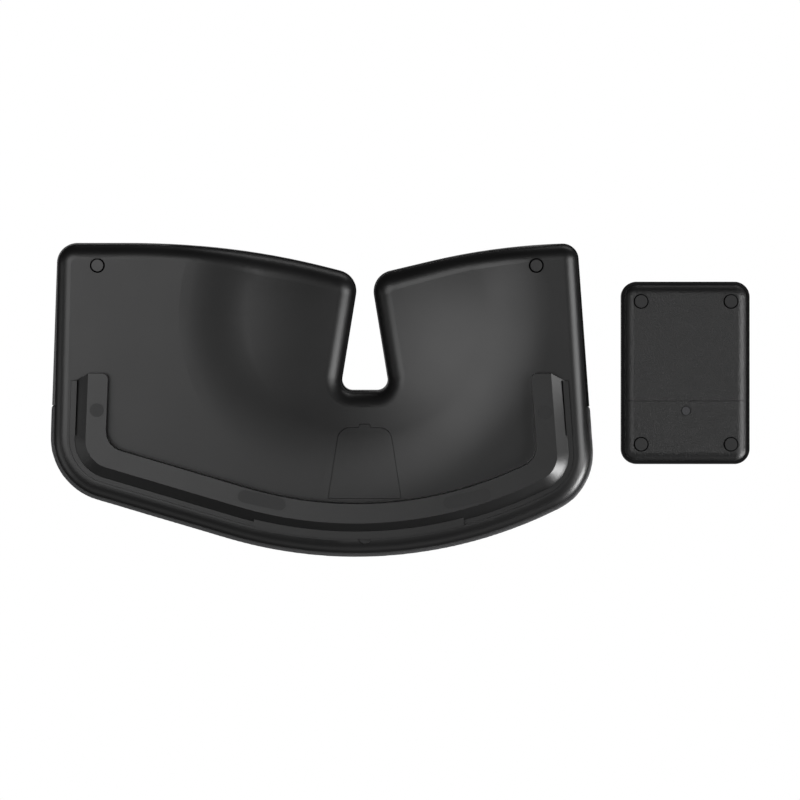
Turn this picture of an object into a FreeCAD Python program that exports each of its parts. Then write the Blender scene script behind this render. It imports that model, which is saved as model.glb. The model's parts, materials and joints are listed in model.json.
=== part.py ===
# Ergonomic keyboard with a domed, notched housing, a clip-on front riser and a separate keypad.
# Lengths are in millimetres, angles in degrees.
# The keyboard is drawn in its own frame: X to the user's right, Y to the rear, Z up, the flat of
# its underside at Z = 0 and the notch on X = 0. The riser then tilts it down towards the rear.
import FreeCAD, Part
import Sketcher
import math
import os
from FreeCAD import Matrix, Placement, Rotation, Vector

doc = FreeCAD.newDocument("ergonomic_keyboard")

# Driving dimensions
SIZES = [
    ("keyboard_shift_x", 25.6, "keyboard frame from the middle of the set, along X"),
    ("keyboard_shift_y", -1.0, "keyboard frame from the middle of the set, along Y"),
    ("keypad_shift_x", -206.3, "keypad middle from the middle of the set, along X"),
    ("keypad_shift_y", 19.6, "keypad middle from the middle of the set, along Y"),
    ("tilt_angle", 4.0, "angle by which the riser lifts the front edge"),
    ("foot_stand", 1.2, "how far the rear feet stand out of the case"),
    ("wall", 2.2, "thickness of the moulded walls"),
    ("deck_wall", 2.0, "thickness of the top deck"),
    ("case_inset", 0.9, "step from the top frame in to the bottom case"),
    ("case_front_inset", 2.7, "step from the palm rest in to the bottom case, at the front"),
    ("case_edge_radius", 10.0, "rolled lower edge of the bottom case"),
    ("notch_edge_radius", 13.0, "rolled lower edge round the notch"),
    ("case_inner_bevel", 5.5, "bevel inside the bottom case, behind the rolled edge"),
    ("deck_edge_cut", 1.6, "bevel round the top frame"),
    ("dome_middle_y", 62.0, "middle of the dome, on the notch line"),
    ("hollow_rise", 20.0, "height of the arch under the keyboard"),
    ("hollow_reach", 134.0, "radius at which the arch meets the flat"),
    ("hollow_crown", 290.0, "crown radius of the arch"),
    ("parting_height", 12.0, "height of the joint line above the flat, at the sides"),
    ("parting_rise", 27.0, "rise of the joint line over the dome"),
    ("parting_reach", 150.0, "radius at which the joint line is flat"),
    ("parting_crown", 320.0, "crown radius of the joint line"),
    ("deck_height", 19.2, "height of the deck above the flat, at the sides"),
    ("deck_rise", 28.0, "rise of the deck over the dome"),
    ("deck_reach", 190.0, "radius at which the deck is flat"),
    ("deck_crown", 485.0, "crown radius of the deck"),
    ("seam_side_y", -2.0, "where the palm rest starts, at the sides"),
    ("seam_dip", 33.5, "how far forward the seam swings in the middle"),
    ("seam_half_width", 108.0, "half width of the swing of the seam"),
    ("seam_gap", 0.3, "joint between the deck and the palm rest"),
    ("pad_thickness", 4.6, "padding on the palm rest"),
    ("pad_stand", 1.6, "how far the padding stands above the deck"),
    ("pad_edge_radius", 4.0, "rounded upper edge of the padding"),
    ("rear_foot_y", 98.3, "rear feet, distance behind the middle"),
    ("left_foot_x", -123.9, "left rear foot"),
    ("right_foot_x", 192.6, "right rear foot"),
    ("foot_radius", 4.2, "rear foot disc"),
    ("foot_seat_radius", 5.5, "recess round a rear foot"),
    ("foot_seat_depth", 1.5, "depth of the recess round a rear foot"),
    ("riser_seat_inset", 14.0, "edge of the riser's seat, from the outline"),
    ("riser_seat_depth", 1.0, "depth of the riser's seat"),
    ("riser_top_inset", 17.0, "top of the riser's sloping face, from the outline"),
    ("riser_strip_inset", 26.5, "outer edge of the riser's flat strip"),
    ("riser_strip_width", 14.3, "width of the riser's flat strip"),
    ("riser_seat_width", 8.0, "width of the riser's seat"),
    ("riser_rim_gap", 0.15, "gap between the riser's inner rim and the flat of the case"),
    ("riser_arm_y", 20.5, "rear end of the riser's arms"),
    ("riser_slope_y", 15.0, "rear end of the riser's sloping face, at its outer edge"),
    ("riser_arm_corner", 4.0, "inner corner at the end of an arm"),
    ("riser_ledge_width", 5.7, "ledge at the riser's front, from the seat's edge"),
    ("riser_arm_ledge_width", 4.3, "ledges on the arms, from the seat's edge"),
    ("riser_ledge_x_low", -71.9, "left end of the ledge at the front"),
    ("riser_ledge_x_high", 80.0, "right end of the ledge at the front"),
    ("riser_ledge_y", -24.8, "front end of the ledges on the arms"),
    ("riser_front_ledge", 3.3, "how far the ledge at the front stands below the flat"),
    ("riser_arm_ledge", 1.8, "how far the ledges on the arms stand below the flat"),
    ("riser_wall", 1.8, "wall of the riser"),
    ("riser_gap", 0.3, "play between the riser and its seat"),
    ("bend_radius", 15.0, "smallest inside bend of the riser"),
    ("pad_disc_radius", 5.0, "round grip pad"),
    ("pad_bar_length", 35.0, "oblong grip pad, length"),
    ("pad_bar_width", 9.0, "oblong grip pad, width"),
    ("pad_bar_angle", 12.5, "oblong grip pad, turn from the X axis"),
    ("grip_pad_stand", 0.4, "how far the grip pads stand out"),
    ("grip_pad_depth", 0.8, "how deep the grip pads sit"),
    ("magnet_radius", 4.0, "holding magnets"),
    ("magnet_height", 2.0, "thickness of the holding magnets"),
    ("door_rear_y", -19.8, "rear edge of the battery door"),
    ("door_front_y", -70.3, "front edge of the battery door"),
    ("door_rear_half", 18.3, "half width of the battery door at the rear"),
    ("door_front_half", 26.35, "half width of the battery door at the front"),
    ("door_corner_radius", 9.0, "rear corners of the battery door"),
    ("finger_notch_width", 9.2, "finger notch at the rear of the battery door"),
    ("finger_notch_depth", 2.5, "depth of the finger notch"),
    ("pull_notch_radius", 4.7, "half-round notch at the front, for pulling the riser off"),
    ("pull_notch_y", -98.9, "middle of the pull notch"),
    ("door_gap", 0.35, "play round the battery door"),
    ("door_wall", 1.8, "thickness of the battery door"),
    ("cell_radius", 5.25, "size AAA cell"),
    ("cell_length", 44.5, "size AAA cell"),
    ("cell_pitch", 11.4, "distance between the two cells"),
    ("cell_middle_y", -44.9, "middle of the cells"),
    ("cell_height", 11.6, "height of the middle of the cells above the flat"),
    ("cell_slope", 9.0, "slope of the cells, which lie along the arch"),
    ("tray_height", 7.6, "top of the battery tray above the middle of the cells"),
    ("tray_wall", 1.6, "wall of the battery tray"),
    ("board_level", 7.0, "main board above the flat"),
    ("board_length", 60.0, "main board"),
    ("board_width", 26.0, "main board"),
    ("board_thickness", 1.6, "circuit boards"),
    ("notch_web", 8.0, "deck left beside the notch"),
    ("rear_web", 7.0, "deck left along the rear edge"),
    ("key_pitch", 19.0, "distance from key to key"),
    ("key_space", 2.5, "gap between neighbouring caps"),
    ("function_depth", 9.5, "depth of a function key"),
    ("cap_height", 4.4, "top of a cap above the deck"),
    ("cap_skirt", 1.1, "how far a cap reaches into its opening"),
    ("cap_draft", 1.5, "how much a cap narrows on each side"),
    ("key_gap", 0.45, "play between a cap and its opening"),
    ("plate_depth", 6.0, "top of the steel plate below the deck"),
    ("plate_thickness", 0.8, "steel plate"),
    ("sheet_thickness", 0.5, "contact sheet"),
    ("dome_radius", 4.2, "rubber dome at its base"),
    ("dome_top_radius", 2.2, "rubber dome at its top"),
    ("dome_gap", 0.3, "play between a cap and its dome"),
    ("plate_inset", 4.8, "edge of the steel plate, from the outline"),
    ("post_inset", 5.6, "posts under the deck, from the outline"),
    ("post_radius", 1.2, "posts that hold the steel plate"),
    ("keypad_width", 92.8, "keypad along X"),
    ("keypad_depth", 131.8, "keypad along Y"),
    ("keypad_corner", 11.0, "corner radius of the keypad"),
    ("keypad_rim", 2.6, "step from the keypad's frame in to its base"),
    ("keypad_edge_radius", 6.8, "rolled lower edge of the keypad's base"),
    ("keypad_stand", 1.0, "how far the keypad's feet stand out"),
    ("keypad_joint_height", 8.0, "joint line of the keypad above its base"),
    ("keypad_deck_height", 19.5, "deck of the keypad above its base"),
    ("keypad_door_line", -20.3, "edge of the keypad's battery door"),
    ("keypad_door_height", 5.0, "height of the door's rolled edge"),
    ("keypad_foot_x", 32.4, "keypad feet, along X"),
    ("keypad_foot_y", 51.5, "keypad feet, along Y"),
    ("keypad_foot_radius", 4.5, "keypad feet"),
    ("keypad_foot_seat", 1.1, "depth of the seats of the keypad's feet"),
    ("keypad_plate_inset", 5.6, "edge of the keypad's steel plate, from its outline"),
    ("keypad_screw_y", -27.4, "screw of the keypad's door"),
    ("screw_head_radius", 2.9, "head of the door screw"),
    ("screw_seat_radius", 3.65, "recess round the door screw"),
    ("keypad_board_side", 40.0, "circuit board of the keypad"),
    ("keypad_chip_side", 12.0, "chip on the keypad's board"),
    ("keypad_chip_height", 1.5, "chip on the keypad's board"),
    ("coin_y", -45.0, "coin cell, from the keypad's middle"),
    ("coin_radius", 10.0, "coin cell"),
    ("coin_height", 3.2, "coin cell"),
]

sheet = doc.addObject("Spreadsheet::Sheet", "Sizes")
for row, (alias, value, meaning) in enumerate(SIZES, 1):
    sheet.set("A%d" % row, alias)
    sheet.set("B%d" % row, str(value))
    sheet.set("C%d" % row, meaning)
    sheet.setAlias("B%d" % row, alias)
doc.recompute()


def size(alias):
    """A driving dimension, read from the spreadsheet."""
    return float(sheet.get(alias))


# Plan outline of the keyboard, clockwise from the rear right corner: the corner points of its
# sides and the radius that rounds each. The long sweeps of the edges are large radii.
OUTLINE = [
    (222.1, 113.9, 14.5),
    (99.7, 113.9, 578.0),
    (4.2, 89.3, 15.5),
    (17.95, 5.6, 7.7),
    (-17.95, 5.6, 7.7),
    (-4.2, 89.3, 15.5),
    (-92.8, 110.7, 492.0),
    (-154.0, 113.9, 11.2),
    (-167.6, -65.9, 45.0),
    (-21.9, -136.2, 327.0),
    (229.0, -62.0, 47.0),
]
FRONT_CORNERS = 3


def inset(corners, distance, smallest=0.5):
    """The same outline moved inwards, with its radii kept concentric."""
    total = len(corners)
    area = 0.0
    for number, (x, y, radius) in enumerate(corners):
        last_x, last_y, last_radius = corners[number - 1]
        area += last_x * y - x * last_y
    side = 1.0 if area > 0 else -1.0
    moved = []
    for number, (x, y, radius) in enumerate(corners):
        here = Vector(x, y, 0)
        before = Vector(*corners[number - 1][:2], 0)
        after = Vector(*corners[(number + 1) % total][:2], 0)
        arriving = (here - before).normalize()
        leaving = (after - here).normalize()
        normal_in = Vector(-arriving.y, arriving.x, 0) * side
        normal_out = Vector(-leaving.y, leaving.x, 0) * side
        step = (normal_in + normal_out) * (distance / (1 + normal_in.dot(normal_out)))
        bulges = (arriving.x * leaving.y - arriving.y * leaving.x) * side > 0
        new_radius = radius - distance if bulges else radius + distance
        moved.append((x + step.x, y + step.y, max(new_radius, smallest)))
    return moved


def rounded_wire(corners, height=0.0, lift=None):
    """A closed wire of lines and arcs. lift gives a point's own height, for a sloping plane."""
    def place(point):
        level = height if lift is None else lift(point.y)
        return Vector(point.x, point.y, level)

    points = [Vector(x, y, 0) for x, y, radius in corners]
    total = len(points)
    before = [(points[number - 1] - points[number]).normalize() for number in range(total)]
    after = [(points[(number + 1) % total] - points[number]).normalize() for number in range(total)]
    halves = [before[number].getAngle(after[number]) / 2 for number in range(total)]
    runs = [corners[number][2] / math.tan(halves[number]) for number in range(total)]
    for number in range(total):
        following = (number + 1) % total
        spare = (points[following] - points[number]).Length - runs[number] - runs[following]
        if spare < 0:
            longer = number if runs[number] > runs[following] else following
            runs[longer] += spare
    arcs = []
    for number, here in enumerate(points):
        radius = runs[number] * math.tan(halves[number])
        inward = (before[number] + after[number]).normalize()
        middle = here + inward * (radius / math.sin(halves[number]) - radius)
        arcs.append((here + before[number] * runs[number], middle, here + after[number] * runs[number]))
    edges = []
    for number, (start, middle, end) in enumerate(arcs):
        following = arcs[(number + 1) % len(arcs)][0]
        if lift is None:
            edges.append(Part.Arc(place(start), place(middle), place(end)).toShape())
        else:
            edges.append(sloping_arc(start, middle, end, place))
        if (following - end).Length > 1e-6:
            edges.append(Part.makeLine(place(end), place(following)))
    return Part.Wire(edges)


def sloping_arc(start, middle, end, place):
    """A plan arc laid on a sloping plane, where it is a smooth curve through three points."""
    curve = Part.BSplineCurve()
    flat = Part.Arc(start, middle, end)
    first, last = flat.FirstParameter, flat.LastParameter
    points = [place(flat.value(first + (last - first) * step / 8.0)) for step in range(9)]
    curve.interpolate(points)
    return curve.toShape()


def prism(corners, bottom, top):
    """An upright solid over a rounded outline."""
    return Part.Face(rounded_wire(corners, bottom)).extrude(Vector(0, 0, top - bottom))


def block(x_low, x_high, y_low, y_high, z_low, z_high):
    """An upright box between two corners."""
    corner = Vector(x_low, y_low, z_low)
    return Part.makeBox(x_high - x_low, y_high - y_low, z_high - z_low, corner)


def post_at(x, y, half, bottom, top):
    """A square post round a place in plan."""
    return block(x - half, x + half, y - half, y + half, bottom, top)


class Hill:
    """A round hill on a plain: a crown arc that runs smoothly into a foot arc."""

    def __init__(self, base, rise, reach, crown):
        self.base = base
        self.rise = rise
        self.reach = reach
        self.crown = crown
        self.slope = 2 * math.atan(rise / reach)
        self.foot = reach / math.sin(self.slope) - crown
        self.join = crown * math.sin(self.slope)
        self.middle = size("dome_middle_y")

    def raised(self, distance):
        """The hill whose surface lies the distance above this one, square to it."""
        return Hill(self.base + distance, self.rise, self.reach, self.crown + distance)

    def height(self, x, y):
        radius = math.hypot(x, y - self.middle)
        if radius >= self.reach:
            return self.base
        if radius < self.join:
            drop = self.crown - math.sqrt(self.crown ** 2 - radius ** 2)
            return self.base + self.rise - drop
        return self.base + self.foot - math.sqrt(self.foot ** 2 - (self.reach - radius) ** 2)

    def normal(self, x, y):
        step = 0.01
        slope_x = (self.height(x + step, y) - self.height(x - step, y)) / (2 * step)
        slope_y = (self.height(x, y + step) - self.height(x, y - step)) / (2 * step)
        return Vector(-slope_x, -slope_y, 1).normalize()

    def below(self, bottom=-60.0, edge=420.0):
        """Everything under the surface, as one turned solid."""
        top = Vector(0, 0, self.base + self.rise)
        crown_centre = top - Vector(0, 0, self.crown)
        foot_centre = Vector(self.reach, 0, self.base + self.foot)

        def on_crown(angle):
            return crown_centre + Vector(math.sin(angle), 0, math.cos(angle)) * self.crown

        def on_foot(angle):
            return foot_centre - Vector(math.sin(angle), 0, math.cos(angle)) * self.foot

        crown_arc = Part.Arc(top, on_crown(self.slope / 2), on_crown(self.slope)).toShape()
        foot_arc = Part.Arc(on_crown(self.slope), on_foot(self.slope / 2), on_foot(0)).toShape()
        rim = [on_foot(0), Vector(edge, 0, self.base), Vector(edge, 0, bottom), Vector(0, 0, bottom), top]
        edges = [crown_arc, foot_arc]
        for start, end in zip(rim, rim[1:]):
            edges.append(Part.makeLine(start, end))
        solid = Part.Face(Part.Wire(edges)).revolve(Vector(0, 0, 0), Vector(0, 0, 1), 360)
        solid.translate(Vector(0, self.middle, 0))
        return solid


HOLLOW = Hill(0.0, size("hollow_rise"), size("hollow_reach"), size("hollow_crown"))
PARTING = Hill(size("parting_height"), size("parting_rise"), size("parting_reach"), size("parting_crown"))
DECK = Hill(size("deck_height"), size("deck_rise"), size("deck_reach"), size("deck_crown"))
REACH_ALL = 80.0
BEYOND = 300.0
TOUCHING = 0.02

# Where the keyboard stands: on its rear feet and on the riser's pads
TILT = math.radians(size("tilt_angle"))
DESK_DROP = size("foot_stand") + size("rear_foot_y") * math.tan(TILT)


def desk_level(y):
    """Height of the desk top in the keyboard's own frame."""
    return y * math.tan(TILT) - DESK_DROP


STANDING = Placement(
    Vector(size("keyboard_shift_x"), size("keyboard_shift_y"), DESK_DROP * math.cos(TILT)),
    Rotation(Vector(1, 0, 0), -size("tilt_angle")),
)
KEYPAD_PLACE = Placement(
    Vector(size("keypad_shift_x"), size("keypad_shift_y"), size("keypad_stand")), Rotation()
)
LEVEL = Placement(Vector(0, 0, 0), Rotation(Vector(1, 0, 0), size("tilt_angle")))

pieces = []


def piece(label, shape, placement):
    """A sub-part with a shape from code, in the frame of the thing that it belongs to."""
    feature = doc.addObject("Part::Feature", label)
    feature.Label = label
    feature.Shape = shape
    feature.Placement = placement.multiply(shape.Placement)
    pieces.append(feature)
    return feature


def bound(kind, name, placement, **formulas):
    """A primitive whose sizes follow formulas on the spreadsheet."""
    item = doc.addObject("Part::" + kind, name)
    for property_name, formula in formulas.items():
        item.setExpression(property_name, formula)
    item.Placement = placement
    return item


def set_of(label, members, placement):
    """A sub-part of several separate solids."""
    feature = doc.addObject("Part::Compound", label)
    feature.Label = label
    feature.Links = members
    feature.Placement = placement
    pieces.append(feature)
    return feature


def joined(label, members, placement):
    """A sub-part whose solids are fused into one."""
    feature = doc.addObject("Part::MultiFuse", label)
    feature.Label = label
    feature.Shapes = members
    feature.Placement = placement
    pieces.append(feature)
    return feature


def at(x, y, z, angle=0.0):
    """A place in the frame of the thing that a piece belongs to."""
    return Placement(Vector(x, y, z), Rotation(Vector(0, 0, 1), angle))


def on_desk(x, y, angle=0.0):
    """A place on the desk, square to it, in the keyboard's own frame."""
    turn = LEVEL.Rotation.multiply(Rotation(Vector(0, 0, 1), angle))
    return Placement(Vector(x, y, desk_level(y)), turn)


def moved(shape, x, y, z, angle=0.0, level=False):
    """A copy set down at a place. level stands it square on the desk, not on the keyboard."""
    place = Placement(Vector(x, y, z), Rotation(Vector(0, 0, 1), angle))
    if level:
        place = Placement(Vector(x, y, z), LEVEL.Rotation.multiply(Rotation(Vector(0, 0, 1), angle)))
    copy = shape.copy()
    copy.Placement = place.multiply(copy.Placement)
    return copy


def edges_along(solid, surface, corners):
    """The edges where a solid's upright outline meets a surface."""
    found = []
    for edge in solid.Edges:
        middle = edge.valueAt((edge.FirstParameter + edge.LastParameter) / 2)
        if abs(middle.z - surface.height(middle.x, middle.y)) < TOUCHING:
            if Part.Vertex(middle).distToShape(rounded_wire(corners, middle.z))[0] < TOUCHING:
                found.append(edge)
    return found


# Bottom case: a moulded tray that follows the arch, with a lower edge that is rolled, and more
# widely so round the notch
NARROW_ROLL_X = 95.0
WIDE_ROLL_X = 28.0


def roll_radius(point):
    """Radius of the rolled edge at a place on the outline."""
    narrow, wide = size("case_edge_radius"), size("notch_edge_radius")
    if point.y < 0.0:
        return narrow
    share = (NARROW_ROLL_X - abs(point.x)) / (NARROW_ROLL_X - WIDE_ROLL_X)
    return narrow + (wide - narrow) * min(max(share, 0.0), 1.0)


def case_plan(distance):
    """Plan of the case, moved inwards: it steps back further under the palm rest."""
    rear = inset(OUTLINE, size("case_inset") + distance)[:-FRONT_CORNERS]
    front = inset(OUTLINE, size("case_front_inset") + distance)[-FRONT_CORNERS:]
    return rear + front


def space_between(floor, ceiling, corners):
    """The space between a floor and a ceiling, inside a plan."""
    return ceiling.below().common(prism(corners, -REACH_ALL, REACH_ALL)).cut(floor.below())


def rolled_case(floor, ceiling, corners):
    """The solid case, with a lower edge whose radius follows the place."""
    blank = doc.addObject("Part::Feature", "case_blank")
    blank.Shape = space_between(floor, ceiling, corners)
    rolled = doc.addObject("Part::Fillet", "case_rolled")
    rolled.Base = blank
    lower_edges = edges_along(blank.Shape, floor, corners)
    radii = []
    for number, edge in enumerate(blank.Shape.Edges, 1):
        if any(edge.isSame(lower) for lower in lower_edges):
            start, end = edge.valueAt(edge.FirstParameter), edge.valueAt(edge.LastParameter)
            radii.append((number, roll_radius(start), roll_radius(end)))
    rolled.Edges = radii
    doc.recompute()
    return rolled.Shape


def front_band(outer_inset, inner_inset, bottom, top, rear):
    """The U-shaped band that follows the front of the outline between two insets."""
    outer = prism(front_region(outer_inset), bottom, top)
    inner = prism(front_region(inner_inset), bottom, top)
    limits = outer.BoundBox
    ahead = block(limits.XMin, limits.XMax, limits.YMin, rear, bottom, top)
    return outer.common(ahead).cut(inner)


def front_region(distance, rear=70.0):
    """Closed plan of the front of the keyboard, inset from the outline, open to the rear."""
    corners = inset(OUTLINE, distance, size("bend_radius"))
    left, front, right = corners[-3:]
    rear_right, rear_left = corners[0], corners[7]

    def side_point(low, high):
        share = (rear - low[1]) / (high[1] - low[1])
        return (low[0] + (high[0] - low[0]) * share, rear, 1.0)

    return [side_point(left, rear_left), left, front, right, side_point(right, rear_right)]


def arm_region(margin):
    """Plan of all that lies in front of the arms' ends, which slope forward at their outer side."""
    level, slope = size("riser_arm_y") - margin, size("riser_slope_y") - margin
    strip = front_region(size("riser_strip_inset"), level)
    foot = front_region(size("riser_top_inset"), slope)
    corners = [(-BEYOND, slope, 1.0), foot[0], strip[0], strip[-1], foot[-1], (BEYOND, slope, 1.0)]
    return prism(corners + [(BEYOND, -BEYOND, 1.0), (-BEYOND, -BEYOND, 1.0)], -REACH_ALL, REACH_ALL)


DOOR_REACH = 6.0


def door_plan(grow):
    """Plan of the battery door, grown by a margin."""
    rear_half = size("door_rear_half") + grow
    front_half = size("door_front_half") + grow
    rear = size("door_rear_y") + grow
    front = size("door_front_y") - grow
    radius = size("door_corner_radius")
    rear_corners = [(rear_half, rear, radius), (-rear_half, rear, radius)]
    return rear_corners + [(-front_half, front, 1.0), (front_half, front, 1.0)]


NOTCH_OVERLAP = 0.7
NOTCH_TAPER = 1.25


def finger_notch(grow):
    """The finger notch at the rear of the battery door."""
    front = size("door_rear_y") - NOTCH_OVERLAP
    rear = size("door_rear_y") + size("finger_notch_depth")
    wide = size("finger_notch_width") / 2
    narrow = wide - NOTCH_TAPER
    corners = [(wide, front, 0.6), (narrow, rear, 0.6), (-narrow, rear, 0.6), (-wide, front, 0.6)]
    return prism(inset(corners, -grow, 0.3), -DOOR_REACH, DOOR_REACH * 2)


def faceted_solid(lower, upper):
    """A solid with flat faces between two rings of as many points."""
    faces = [Part.Face(Part.makePolygon(ring + ring[:1])) for ring in (lower, upper)]
    for number, start in enumerate(lower):
        following = (number + 1) % len(lower)
        side = [start, lower[following], upper[following], upper[number], start]
        faces.append(Part.Face(Part.makePolygon(side)))
    return Part.makeSolid(Part.makeShell(faces))


def ring_of(radius, level, sides):
    """Corner points of a regular polygon."""
    turns = [2 * math.pi * (step + 0.5) / sides for step in range(sides)]
    return [Vector(radius * math.cos(turn), radius * math.sin(turn), level) for turn in turns]


def facet_disc(radius, low, high, sides=10):
    """A small hidden disc or hole, with few flat sides."""
    return faceted_solid(ring_of(radius, low, sides), ring_of(radius, high, sides))


# Rolled and hollow bottom case
wall = size("wall")
deck_wall = size("deck_wall")
case_inset = size("case_inset")
floor_inside = HOLLOW.raised(wall)
case = rolled_case(HOLLOW, PARTING, case_plan(0.0))
cavity_plan = case_plan(wall)
cavity = space_between(floor_inside, PARTING.raised(wall), cavity_plan)
cavity = cavity.makeChamfer(size("case_inner_bevel"), edges_along(cavity, floor_inside, cavity_plan))
case = case.cut(cavity)
riser_gap = size("riser_gap")
seat_outer = size("riser_seat_inset")
seat_inner = seat_outer + size("riser_seat_width")
seat_depth = size("riser_seat_depth")
seat_rear = size("riser_arm_y") + riser_gap
seat = front_band(seat_outer, seat_inner, -REACH_ALL, seat_depth, seat_rear)
case = case.cut(seat.common(arm_region(-riser_gap)))

# Battery bay: the door's opening, and a lip that the door rests on
door_gap = size("door_gap")
case = case.cut(prism(door_plan(door_gap), -DOOR_REACH, DOOR_REACH * 2))
case = case.cut(finger_notch(door_gap))

PULL_DEPTH = 2.0
foot_places = [(size("left_foot_x"), size("rear_foot_y")), (size("right_foot_x"), size("rear_foot_y"))]
for x, y in foot_places:
    seat = facet_disc(size("foot_seat_radius"), -DOOR_REACH, size("foot_seat_depth"), 24)
    case = case.cut(moved(seat, x, y, HOLLOW.height(x, y)))
pull_y = size("pull_notch_y")
pull_radius = size("pull_notch_radius")
pull_notch = Part.makeCylinder(pull_radius, 2 * PULL_DEPTH, Vector(0, pull_y, -PULL_DEPTH))
pull_front = block(-pull_radius, pull_radius, pull_y - pull_radius, pull_y, -PULL_DEPTH, PULL_DEPTH)
case = case.cut(pull_notch.common(pull_front))

# Screw bosses stand on the floor near the riser's seat and reach the palm rest's carrier
SCREW_PLACES = [(193.0, -28.0), (165.0, -45.0), (40.0, -77.4), (-40.0, -76.6), (-131.0, -30.0)]
BOSS_HALF = 3.4
BOSS_GAP = 0.8
SCREW_HOLE = 1.3
HEAD_HOLE = 2.7
HEAD_LEVEL = 1.4
HEAD_HEIGHT = 1.6
SCREW_LENGTH = 8.0
SCREW_PLAY = 0.05
bosses = []
screw_holes = []
for x, y in SCREW_PLACES:
    boss_top = DECK.height(x, y) + size("pad_stand") - size("pad_thickness") - deck_wall - BOSS_GAP
    bosses.append(post_at(x, y, BOSS_HALF, wall / 2, boss_top))
    screw_holes.append(moved(facet_disc(SCREW_HOLE, -DOOR_REACH, boss_top - 1.0), x, y, 0))
    screw_holes.append(moved(facet_disc(HEAD_HOLE, -DOOR_REACH, HEAD_LEVEL + HEAD_HEIGHT), x, y, 0))
case = case.fuse(bosses).cut(screw_holes)
board_x, board_y = 82.0, -38.0
board_level = size("board_level")
board_half = size("board_length") / 2
BOARD_POST_HALF = 2.0
for side in (-1, 1):
    x = board_x + side * (board_half - 2 * BOARD_POST_HALF)
    case = case.fuse(post_at(x, board_y, BOARD_POST_HALF, HOLLOW.height(x, board_y) + wall / 2, board_level))
piece("bottom_case", case, STANDING)

# Seam between the deck and the palm rest: straight at the sides, swinging forward in the middle.
# Its corner points lie at these shares of its half width and of its dip.
SEAM_RIGHT = 1.25
SEAM_LEFT = 1.1
SEAM_SHOULDER = 0.1
SEAM_DEEPEST = 1.12
SEAM_RADIUS = 150.0


def seam_region(grow):
    """Plan of everything in front of the seam, as an upright solid."""
    side_y = size("seam_side_y") + grow
    half = size("seam_half_width")
    dip = size("seam_dip")
    shoulder_y = side_y - dip * SEAM_SHOULDER
    points = [(BEYOND, side_y, 1.0), (half * SEAM_RIGHT, shoulder_y, SEAM_RADIUS)]
    points += [(0.0, side_y - dip * SEAM_DEEPEST, SEAM_RADIUS)]
    points += [(-half * SEAM_LEFT, shoulder_y, SEAM_RADIUS), (-BEYOND, side_y, 1.0)]
    points += [(-BEYOND, -BEYOND, 1.0), (BEYOND, -BEYOND, 1.0)]
    return prism(points, -REACH_ALL, REACH_ALL)


# Key layout: rows on arcs that follow the two rear edges of the keyboard
class Cap:
    """One key cap: its place and turn in plan, its width and its depth."""

    def __init__(self, group, x, y, angle, width, depth):
        self.group = group
        self.x = x
        self.y = y
        self.angle = angle
        self.width = width
        self.depth = depth

    def frame(self, surface):
        """The cap's own frame on a surface: Z square to it, X along the row."""
        up = surface.normal(self.x, self.y)
        along = Vector(math.cos(math.radians(self.angle)), math.sin(math.radians(self.angle)), 0)
        across = up.cross(along).normalize()
        right = across.cross(up).normalize()
        place = Matrix(
            right.x, across.x, up.x, self.x,
            right.y, across.y, up.y, self.y,
            right.z, across.z, up.z, surface.height(self.x, self.y),
            0, 0, 0, 1,
        )
        return Placement(place)


PITCH = size("key_pitch")
SPACE = size("key_space")
FUNCTION_OFFSET = size("rear_web") + size("function_depth") / 2
FIRST_ROW_OFFSET = size("rear_web") + size("function_depth") + SPACE + 1.0 + (PITCH - SPACE) / 2
LEFT_ARC = (-135.0, -351.0, 464.0)
RIGHT_ARC = (160.0, -447.0, 560.0)
LEFT_LIMIT = -150.5
RIGHT_LIMIT = 172.5
NAVIGATION_X = (187.3, 206.3)


def notch_limit(y):
    """Half width of the notch at a place along it, with the web beside it."""
    y = max(min(y, 80.0), 17.0)
    return 6.2 + (80.0 - y) * (16.2 - 6.2) / 63.0 + size("notch_web")


def row_of_keys(arc, offset, start_x, end_x, names, widths, depth):
    """Caps side by side on an arc. One width may be None, and takes what is left."""
    centre_x, centre_y, edge_radius = arc
    radius = edge_radius - offset
    start = math.asin((start_x - centre_x) / radius)
    end = math.asin((end_x - centre_x) / radius)
    length = (end - start) * radius
    known = sum(width for width in widths if width is not None)
    filled = [length - known if width is None else width for width in widths]
    caps = []
    reached = start
    for name, width in zip(names, filled):
        middle = reached + width / 2 / radius
        x = centre_x + radius * math.sin(middle)
        y = centre_y + radius * math.cos(middle)
        caps.append(Cap(name, x, y, -math.degrees(middle), width - SPACE, depth))
        reached += width / radius
    return caps


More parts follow.
